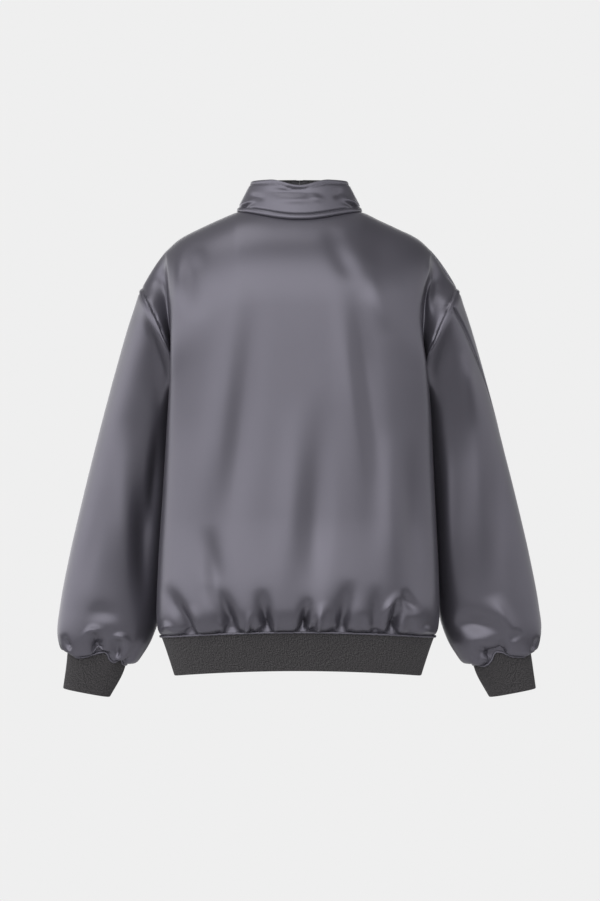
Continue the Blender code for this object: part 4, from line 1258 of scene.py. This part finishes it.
def thread_finish(colours):
    """Twisted polyester thread: a slight shine, with a tone that changes from stitch to stitch."""
    material, tree, shader = new_material("polyester sewing thread")
    place = add_node(tree, "ShaderNodeTexCoord")
    # The twist is finer than a stitch; it is drawn 3 mm long so that it shows.
    twist = waves(tree, place.outputs["Object"], 0.0005)
    twisted = mixed(tree, twist, shade(colours.thread, 0.85), shade(colours.thread, 1.1))
    feed(tree, shader, {"Base Color": twisted, "Roughness": 0.45})
    return material


def metal_finish(colours):
    """Gunmetal-plated zinc, die cast and tumbled: dark grey metal with faint handling marks."""
    material, tree, shader = new_material("gunmetal plated zinc")
    place = add_node(tree, "ShaderNodeTexCoord")
    # Tumbling marks are about 1.5 mm across.
    marks = noise(tree, place.outputs["Object"], 1 / 0.0015, 4.0)
    worn = spread(tree, marks, 0.0, 1.0, 0.26, 0.44)
    plated = mixed(tree, marks, shade(colours.metal, 0.85), shade(colours.metal, 1.12))
    feed(tree, shader, {"Base Color": plated, "Roughness": worn, "Metallic": 1.0})
    return material


FINISHES = {
    "satin": satin_finish,
    "rib_knit": knit_finish,
    "lining": lining_finish,
    "zip_tape": tape_finish,
    "thread": thread_finish,
    "gunmetal": metal_finish,
}


@functools.lru_cache(maxsize=None)
def finish(name):
    """The scene's one material of that name."""
    return FINISHES[name](bpy.context.scene.jacket_colours)


def shown(name, mesh, *materials):
    """Puts a mesh in the scene as a named, smooth-shaded piece."""
    mesh.materials.clear()
    for material in materials:
        mesh.materials.append(material)
    mesh.shade_smooth()
    mesh.set_sharp_from_angle(angle=SHARP_ANGLE)
    piece = bpy.data.objects.new(name, mesh)
    bpy.context.scene.collection.objects.link(piece)
    return piece


def cloth_piece(name, cloth, *materials):
    """A cloth piece as a closed wall, with its lengths as its UV map; a second material lines it."""
    rows, columns = cloth.outer.shape[:2]
    layer = rows * columns
    index = np.arange(layer).reshape(rows, columns)
    quads = np.stack([index[:-1, :-1], index[:-1, 1:], index[1:, 1:], index[1:, :-1]], axis=-1).reshape(-1, 4)
    loop = np.concatenate([index[0, :-1], index[:-1, -1], index[-1, :0:-1], index[:0:-1, 0]])
    ahead = np.roll(loop, -1)
    rim = np.stack([ahead, loop, loop + layer, ahead + layer], axis=-1)
    faces = np.concatenate([quads, quads[:, ::-1] + layer, rim])
    if np.sum(face_spans(cloth.outer) * cloth.normals[:-1, :-1]) < 0:
        faces = faces[:, ::-1]
    mesh = bpy.data.meshes.new(name)
    points = np.concatenate([cloth.outer.reshape(-1, 3), cloth.inner.reshape(-1, 3)])
    mesh.from_pydata(points, [], faces)
    flat = np.stack([run_along(cloth.outer, 1), run_along(cloth.outer, 0)], axis=-1).reshape(-1, 2)
    corners = np.empty(len(mesh.loops), int)
    mesh.loops.foreach_get("vertex_index", corners)
    mesh.uv_layers.new(name="UVMap").data.foreach_set("uv", flat[corners % layer].ravel())
    piece = shown(name, mesh, *materials)
    # Inner faces take the last material; on satin pieces this is the near-black lining, which partly paints
    # the shade inside the collar.
    lined = np.zeros(len(faces), int)
    lined[len(quads) : 2 * len(quads)] = len(materials) - 1
    mesh.polygons.foreach_set("material_index", lined)
    return piece


def satin_piece(name, cloth):
    """A satin piece with its lining inside."""
    return cloth_piece(name, cloth, finish("satin"), finish("lining"))


def path_object(name, lines):
    """Lines of points as a mesh of edges, for the path trees."""
    points, edges = [], []
    for line in lines:
        start = len(points)
        points += [tuple(p) for p in line]
        edges += [(start + i, start + i + 1) for i in range(len(line) - 1)]
    mesh = bpy.data.meshes.new(name)
    mesh.from_pydata(points, edges, [])
    holder = bpy.data.objects.new(name, mesh)
    bpy.context.scene.collection.objects.link(holder)
    return holder


def path_tree(name, inputs):
    """An empty tree for a path: a geometry in, named inputs, and a geometry out."""
    tree = bpy.data.node_groups.new(name, "GeometryNodeTree")
    tree.is_modifier = True
    tree.interface.new_socket("Path", in_out="INPUT", socket_type="NodeSocketGeometry")
    for label, kind in inputs.items():
        tree.interface.new_socket(label, in_out="INPUT", socket_type=kind)
    tree.interface.new_socket("Geometry", in_out="OUTPUT", socket_type="NodeSocketGeometry")
    given = add_node(tree, "NodeGroupInput")
    curve = add_node(tree, "GeometryNodeMeshToCurve", {0: given.outputs["Path"]})
    return tree, given, curve


def finish_tree(tree, given, geometry):
    """Ends a path tree in a plain smooth mesh with its material."""
    plain = add_node(tree, "GeometryNodeRealizeInstances", {0: geometry})
    smooth = add_node(tree, "GeometryNodeSetShadeSmooth", {0: plain.outputs[0]})
    painted = add_node(
        tree, "GeometryNodeSetMaterial", {0: smooth.outputs[0], "Material": given.outputs["Material"]}
    )
    add_node(tree, "NodeGroupOutput", {0: painted.outputs[0]})
    return tree


@functools.lru_cache(maxsize=None)
def repeat_tree(shape, axis):
    """Repeats a small shape along a path: stitches are long beads, teeth are short stubs."""
    sockets = {"Pitch": "NodeSocketFloat", "Size": "NodeSocketVector", "Material": "NodeSocketMaterial"}
    tree, given, curve = path_tree(f"{shape} along a path", sockets)
    steps = {0: curve.outputs[0], "Length": given.outputs["Pitch"]}
    spaced = add_node(tree, "GeometryNodeResampleCurve", steps, mode="LENGTH")
    if shape == "stitch":
        one = add_node(tree, "GeometryNodeMeshIcoSphere", {"Radius": 0.5, "Subdivisions": 2})
    else:
        one = add_node(tree, "GeometryNodeMeshCylinder", {"Vertices": 8, "Radius": 0.5, "Depth": 1.0})
    along = add_node(tree, "GeometryNodeInputTangent")
    facing = add_node(tree, "FunctionNodeAlignRotationToVector", {"Vector": along.outputs[0]}, axis=axis)
    copies = {"Points": spaced.outputs[0], "Instance": one.outputs[0]}
    copies |= {"Rotation": facing.outputs[0], "Scale": given.outputs["Size"]}
    placed = add_node(tree, "GeometryNodeInstanceOnPoints", copies)
    return finish_tree(tree, given, placed.outputs[0])


@functools.lru_cache(maxsize=None)
def lip_tree():
    """A thin roll of cloth along a path."""
    sockets = {"Radius": "NodeSocketFloat", "Material": "NodeSocketMaterial"}
    tree, given, curve = path_tree("lip along a path", sockets)
    circle = {"Resolution": 8, "Radius": given.outputs["Radius"]}
    ring = add_node(tree, "GeometryNodeCurvePrimitiveCircle", circle)
    roll = add_node(
        tree,
        "GeometryNodeCurveToMesh",
        {"Curve": curve.outputs[0], "Profile Curve": ring.outputs[0], "Fill Caps": True},
    )
    return finish_tree(tree, given, roll.outputs[0])


def grown_along(name, lines, tree, values):
    """A piece that a path tree makes along lines of points, as a plain mesh."""
    holder = path_object(f"{name}_path", lines)
    modifier = holder.modifiers.new("along", "NODES")
    modifier.node_group = tree
    for item in tree.interface.items_tree:
        if item.in_out == "INPUT" and item.name in values:
            modifier[item.identifier] = values[item.name]
    graph = bpy.context.evaluated_depsgraph_get()
    mesh = bpy.data.meshes.new_from_object(holder.evaluated_get(graph))
    mesh.name = name
    bpy.data.objects.remove(holder)
    return shown(name, mesh, values["Material"])


def dressed(piece, body, slot, *nodes):
    """Ties a finished piece to its body and hides the solids it stands for; its slot is not used."""
    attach(piece, body)
    if nodes:
        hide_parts(*nodes)
    return piece


def jacket_cloth(context):
    """The satin pieces at the sizes set in the panel."""
    sizes = context.scene.jacket_sizes
    return satin_cloth(sizes.crease_share, sizes.satin_wall, sizes.collar_wall)


class JACKET_OT_body(bpy.types.Operator):
    """Make the back and both fronts, creased and gathered into the rib"""

    bl_idname = "jacket.body"
    bl_label = "Back and fronts"

    def execute(self, context):
        cloth = jacket_cloth(context)
        back = satin_piece("back_satin", cloth["back"])
        dressed(back, "jacket", "satin", "back_panel")
        for side in SIDES:
            front = satin_piece(f"front_satin_{side}", cloth[f"front_{side}"])
            dressed(front, "jacket", "satin", f"front_panel_{side}")
        return {"FINISHED"}


class JACKET_OT_sleeves(bpy.types.Operator):
    """Make the four sleeve halves, puffed over the cuffs"""

    bl_idname = "jacket.sleeves"
    bl_label = "Sleeves"

    def execute(self, context):
        cloth = jacket_cloth(context)
        for side in SIDES:
            for half in ("back", "front"):
                name = f"sleeve_{half}_{side}"
                piece = satin_piece(f"sleeve_satin_{half}_{side}", cloth[name])
                dressed(piece, "jacket", "satin", name)
        return {"FINISHED"}


class JACKET_OT_collar(bpy.types.Operator):
    """Make the stand collar with its neck band"""

    bl_idname = "jacket.collar"
    bl_label = "Collar"

    def execute(self, context):
        collar = jacket_cloth(context)["collar"]
        piece = satin_piece("collar_satin", collar)
        dressed(piece, "jacket", "satin", "collar")
        return {"FINISHED"}


class JACKET_OT_ribs(bpy.types.Operator):
    """Make the rib hem and both rib cuffs"""

    bl_idname = "jacket.ribs"
    bl_label = "Rib hem and cuffs"

    def execute(self, context):
        sizes = context.scene.jacket_sizes
        hem = hem_knit(jacket_cloth(context), sizes)
        piece = cloth_piece("hem_knit", hem, finish("rib_knit"))
        dressed(piece, "jacket", "rib_knit", "hem_rib")
        for side in SIDES:
            cuff = cuff_knit(side, sizes)
            piece = cloth_piece(f"cuff_knit_{side}", cuff, finish("rib_knit"))
            dressed(piece, "jacket", "rib_knit", f"cuff_{side}")
        return {"FINISHED"}


class JACKET_OT_seam_lips(bpy.types.Operator):
    """Make the thin satin lips along the rib seam and the cuff seams"""

    bl_idname = "jacket.seam_lips"
    bl_label = "Seam lips"

    def execute(self, context):
        sizes = context.scene.jacket_sizes
        cloth = jacket_cloth(context)
        values = {"Radius": sizes.lip, "Material": finish("satin")}
        seam = smoothed(even_line(rib_seam(cloth), HEM_LIP_POINTS), HEM_LIP_REACH)
        out = level_normals(seam) * (sizes.lip * HEM_LIP_OUT) + np.array([0.0, 0.0, HEM_LIP_UP])
        ripple = pucker(run_along(seam[None], 1)[0])[:, None] * np.array([0.0, 0.0, LIP_RIPPLE])
        hem = grown_along("hem_lip", [seam + out + ripple], lip_tree(), values)
        dressed(hem, "jacket", "satin")
        for side in SIDES:
            halves = [cloth[f"sleeve_{half}_{side}"] for half in ("back", "front")]
            ring = np.concatenate([halves[0].outer[-1, ::-1], halves[1].outer[-1, 1:]])
            ring = even_line(ring, CUFF_LIP_POINTS)
            out = unit(ring - np.mean(ring, axis=0)) * (sizes.lip * CUFF_LIP_OUT)
            ripple = pucker(run_along(ring[None], 1)[0])[:, None] * up_the_arm(side) * LIP_RIPPLE
            piece = grown_along(f"cuff_lip_{side}", [ring + out + ripple], lip_tree(), values)
            dressed(piece, "jacket", "satin")
        return {"FINISHED"}


class JACKET_OT_stitching(bpy.types.Operator):
    """Sew the topstitching along the collar, armholes, overarms and front edges"""

    bl_idname = "jacket.stitching"
    bl_label = "Topstitching"

    def execute(self, context):
        sizes = context.scene.jacket_sizes
        cloth = jacket_cloth(context)
        lift = sizes.thread * STITCH_LIFT
        above = body_rows() > ARMPIT_ROW
        collar = turned_cloth(cloth["collar"])
        back = cloth["back"]
        lines = {
            "collar": [
                line_at(collar, run_along(collar.outer, 1, -1), COLLAR_STITCH.at, lift),
                line_at(collar, run_along(collar.outer, 1), NECK_BAND.at, lift),
            ],
            "armholes": [
                line_at(back, run_along(back.outer, 1), ARMHOLE_STITCH.at, lift)[above],
                line_at(back, run_along(back.outer, 1, -1), ARMHOLE_STITCH.at, lift)[above],
            ],
            "overarms": [],
            "fronts": [],
        }
        for side in SIDES:
            front = cloth[f"front_{side}"]
            border = -1 if side == "right" else 0
            run = run_along(front.outer, 1, border)
            lines["armholes"].append(line_at(front, run, ARMHOLE_STITCH.at, lift)[above])
            run = run_along(front.outer, 1, -1 - border)
            lines["fronts"].append(line_at(front, run, FRONT_STITCH_AT, lift))
            sleeve = cloth[f"sleeve_back_{side}"]
            sewn = line_at(sleeve, run_along(sleeve.outer, 1), OVERARM_STITCH.at, lift)
            lines["overarms"].append(sewn[OVERARM_SEWN])
        values = {
            "Pitch": sizes.stitch_pitch,
            "Size": (sizes.stitch_length, sizes.thread, sizes.thread),
            "Material": finish("thread"),
        }
        for name, sewn in lines.items():
            piece = grown_along(f"stitches_{name}", sewn, repeat_tree("stitch", "X"), values)
            dressed(piece, "jacket", "satin")
        return {"FINISHED"}


class JACKET_OT_zip(bpy.types.Operator):
    """Make the zip tapes and teeth, and finish the slider and its pull"""

    bl_idname = "jacket.zip"
    bl_label = "Zip"

    def execute(self, context):
        sizes = context.scene.jacket_sizes
        cloth = jacket_cloth(context)
        line, square = zip_line(cloth, hem_knit(cloth, sizes), sizes)
        for side in SIDES:
            tape = tape_cloth(line, square, side)
            piece = cloth_piece(f"zip_tape_woven_{side}", tape, finish("zip_tape"))
            dressed(piece, "jacket", "zip_tape", f"zip_tape_{side}")
        below = line[:, 2] < SLIDER_FOOT_Z
        chain = (line + square * TOOTH_SEAT)[below][FIRST_TOOTH_ROW:]
        values = {"Pitch": sizes.tooth_pitch, "Size": TOOTH_SIZE, "Material": finish("gunmetal")}
        rows = []
        for side in SIDES:
            shift = np.array([SIDES[side] * TOOTH_ASIDE, 0.0, 0.0])
            climb = unit(chain[1] - chain[0]) * (sizes.tooth_pitch / 2 if side == "left" else 0.0)
            rows.append(hang(chain + climb) + shift)
        teeth = grown_along("zip_teeth", rows, repeat_tree("tooth", "Z"), values)
        dressed(teeth, "jacket", "gunmetal")
        for name in ("zip_slider", "zip_pull"):
            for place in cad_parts[name].material_slots:
                place.material = finish("gunmetal")
        return {"FINISHED"}


FLOOR_Z = -1.45
FLOOR_RADIUS = 3.0
FLOOR_CORNERS = 96
CAMERA_PLACE = (0.00075, -6.0, -0.35625)
PHOTO_HEIGHT = 901
METRES_A_PIXEL = 0.0015
SENSOR = 36.0
AIM = Vector((0.0, 0.0, -0.36))

# Fades: the input's start and end, and the value at each
FLOOR_FADE = (0.4, 0.98, 1.0, 0.0)
SKY_FROM_FLOOR = (-0.24, 0.05, 0.04, 1.0)
SKY_TO_CEILING = (0.20, 0.74, 1.0, 0.15)
SKY_LEFT_TO_RIGHT = (-0.55, 0.50, 2.8, 1.35)
CEILING_UP = (0.0, 0.45, 1.0)

# Lamps stand round the jacket at an azimuth from the camera towards the left of the picture.
StudioLight = namedtuple("StudioLight", "name azimuth height size power")
LAMP_DISTANCE = 4.6
LIGHTS = [
    StudioLight("broad behind", -4.0, 24.0, 4.2, 34.0),
    StudioLight("ceiling", 70.0, 74.0, 2.6, 48.0),
    StudioLight("broad before", 180.0, 8.0, 2.6, 24.0),
]


def studio_floor(scene):
    """A pale round floor that fades out into the backdrop."""
    mesh = bpy.data.meshes.new("floor")
    turns = [2 * math.pi * k / FLOOR_CORNERS for k in range(FLOOR_CORNERS)]
    rim = [(FLOOR_RADIUS * math.cos(a), FLOOR_RADIUS * math.sin(a), FLOOR_Z) for a in turns]
    mesh.from_pydata(rim, [], [list(range(FLOOR_CORNERS))])
    floor = bpy.data.objects.new("floor", mesh)
    scene.collection.objects.link(floor)
    material, tree, shader = new_material("pale studio floor")
    place = add_node(tree, "ShaderNodeTexCoord").outputs["Object"]
    level = (1 / FLOOR_RADIUS, 1 / FLOOR_RADIUS, 0.0)
    away = add_node(tree, "ShaderNodeVectorMath", {0: place, 1: level}, operation="MULTIPLY")
    reach = add_node(tree, "ShaderNodeVectorMath", {0: away.outputs[0]}, operation="LENGTH")
    fade = spread(tree, reach.outputs["Value"], *FLOOR_FADE)
    feed(tree, shader, {"Base Color": (*linear("#e9e9e9"), 1.0), "Roughness": 0.9, "Alpha": fade})
    mesh.materials.append(material)


def studio_walls(scene):
    """White walls all round, a darker ceiling and an unlit floor, a little brighter to the left."""
    world = bpy.data.worlds.new("studio")
    scene.world = world
    world.use_nodes = True
    sky = world.node_tree
    backdrop = sky.nodes["Background"]
    backdrop.inputs["Color"].default_value = (*linear("#efefef"), 1.0)
    way = add_node(sky, "ShaderNodeTexCoord").outputs["Generated"]
    axes = add_node(sky, "ShaderNodeSeparateXYZ", {0: way})
    height = add_node(sky, "ShaderNodeVectorMath", {0: way, 1: CEILING_UP}, operation="DOT_PRODUCT")
    strength = spread(sky, axes.outputs["Z"], *SKY_FROM_FLOOR, "SMOOTHSTEP")
    for value, fade in ((height.outputs["Value"], SKY_TO_CEILING), (axes.outputs["X"], SKY_LEFT_TO_RIGHT)):
        share = spread(sky, value, *fade, "SMOOTHSTEP")
        strength = add_node(sky, "ShaderNodeMath", {0: strength, 1: share}, operation="MULTIPLY").outputs[0]
    glow = {"Color": (*linear("#f2f2f4"), 1.0), "Strength": strength}
    around = add_node(sky, "ShaderNodeBackground", glow)
    path = add_node(sky, "ShaderNodeLightPath")
    shaders = {0: path.outputs["Is Camera Ray"], 1: around.outputs[0], 2: backdrop.outputs[0]}
    seen = add_node(sky, "ShaderNodeMixShader", shaders)
    sky.links.new(seen.outputs[0], sky.nodes["World Output"].inputs["Surface"])


def studio_lamps(scene):
    """Broad lamps round the jacket, out of the camera's sight."""
    for light in LIGHTS:
        lamp = bpy.data.lights.new(light.name, "AREA")
        lamp.size = light.size
        lamp.energy = light.power
        holder = bpy.data.objects.new(light.name, lamp)
        azimuth, height = math.radians(light.azimuth), math.radians(light.height)
        level = math.cos(height)
        way = Vector((-math.sin(azimuth) * level, -math.cos(azimuth) * level, math.sin(height)))
        holder.location = AIM + way * LAMP_DISTANCE
        holder.rotation_euler = (-way).to_track_quat("-Z", "Y").to_euler()
        holder.visible_camera = False
        scene.collection.objects.link(holder)


def studio_camera(scene):
    """A level camera behind the jacket, at the photo's scale."""
    lens = bpy.data.cameras.new("camera")
    lens.sensor_fit = "VERTICAL"
    lens.sensor_height = SENSOR
    lens.lens = SENSOR * -CAMERA_PLACE[1] / (PHOTO_HEIGHT * METRES_A_PIXEL)
    camera = bpy.data.objects.new("camera", lens)
    camera.location = CAMERA_PLACE
    camera.rotation_euler = (math.radians(90.0), 0.0, 0.0)
    scene.collection.objects.link(camera)
    scene.camera = camera


class JACKET_OT_stage(bpy.types.Operator):
    """Set the pale floor, the soft studio light and the camera"""

    bl_idname = "jacket.stage"
    bl_label = "Stage"

    def execute(self, context):
        context.scene.view_settings.view_transform = "Standard"
        for made in (studio_floor, studio_walls, studio_lamps, studio_camera):
            made(context.scene)
        return {"FINISHED"}


OPERATORS = [
    JACKET_OT_body,
    JACKET_OT_sleeves,
    JACKET_OT_collar,
    JACKET_OT_ribs,
    JACKET_OT_seam_lips,
    JACKET_OT_stitching,
    JACKET_OT_zip,
    JACKET_OT_stage,
]


class JACKET_PT_panel(bpy.types.Panel):
    """The jacket's sizes, colours and steps"""

    bl_idname = "JACKET_PT_panel"
    bl_label = "Satin bomber jacket"
    bl_space_type = "VIEW_3D"
    bl_region_type = "UI"
    bl_category = "Jacket"

    def draw(self, context):
        for group in (context.scene.jacket_sizes, context.scene.jacket_colours):
            for key in group.__annotations__:
                self.layout.prop(group, key)
        for operator in OPERATORS:
            self.layout.operator(operator.bl_idname)


CLASSES = [JacketSizes, JacketColours, *OPERATORS, JACKET_PT_panel]


def register():
    for made in CLASSES:
        bpy.utils.register_class(made)
    bpy.types.Scene.jacket_sizes = bpy.props.PointerProperty(type=JacketSizes)
    bpy.types.Scene.jacket_colours = bpy.props.PointerProperty(type=JacketColours)


def unregister():
    del bpy.types.Scene.jacket_colours
    del bpy.types.Scene.jacket_sizes
    for made in reversed(CLASSES):
        bpy.utils.unregister_class(made)


def main():
    register()
    for operator in OPERATORS:
        group, name = operator.bl_idname.split(".")
        getattr(getattr(bpy.ops, group), name)()


if __name__ == "__main__":
    main()
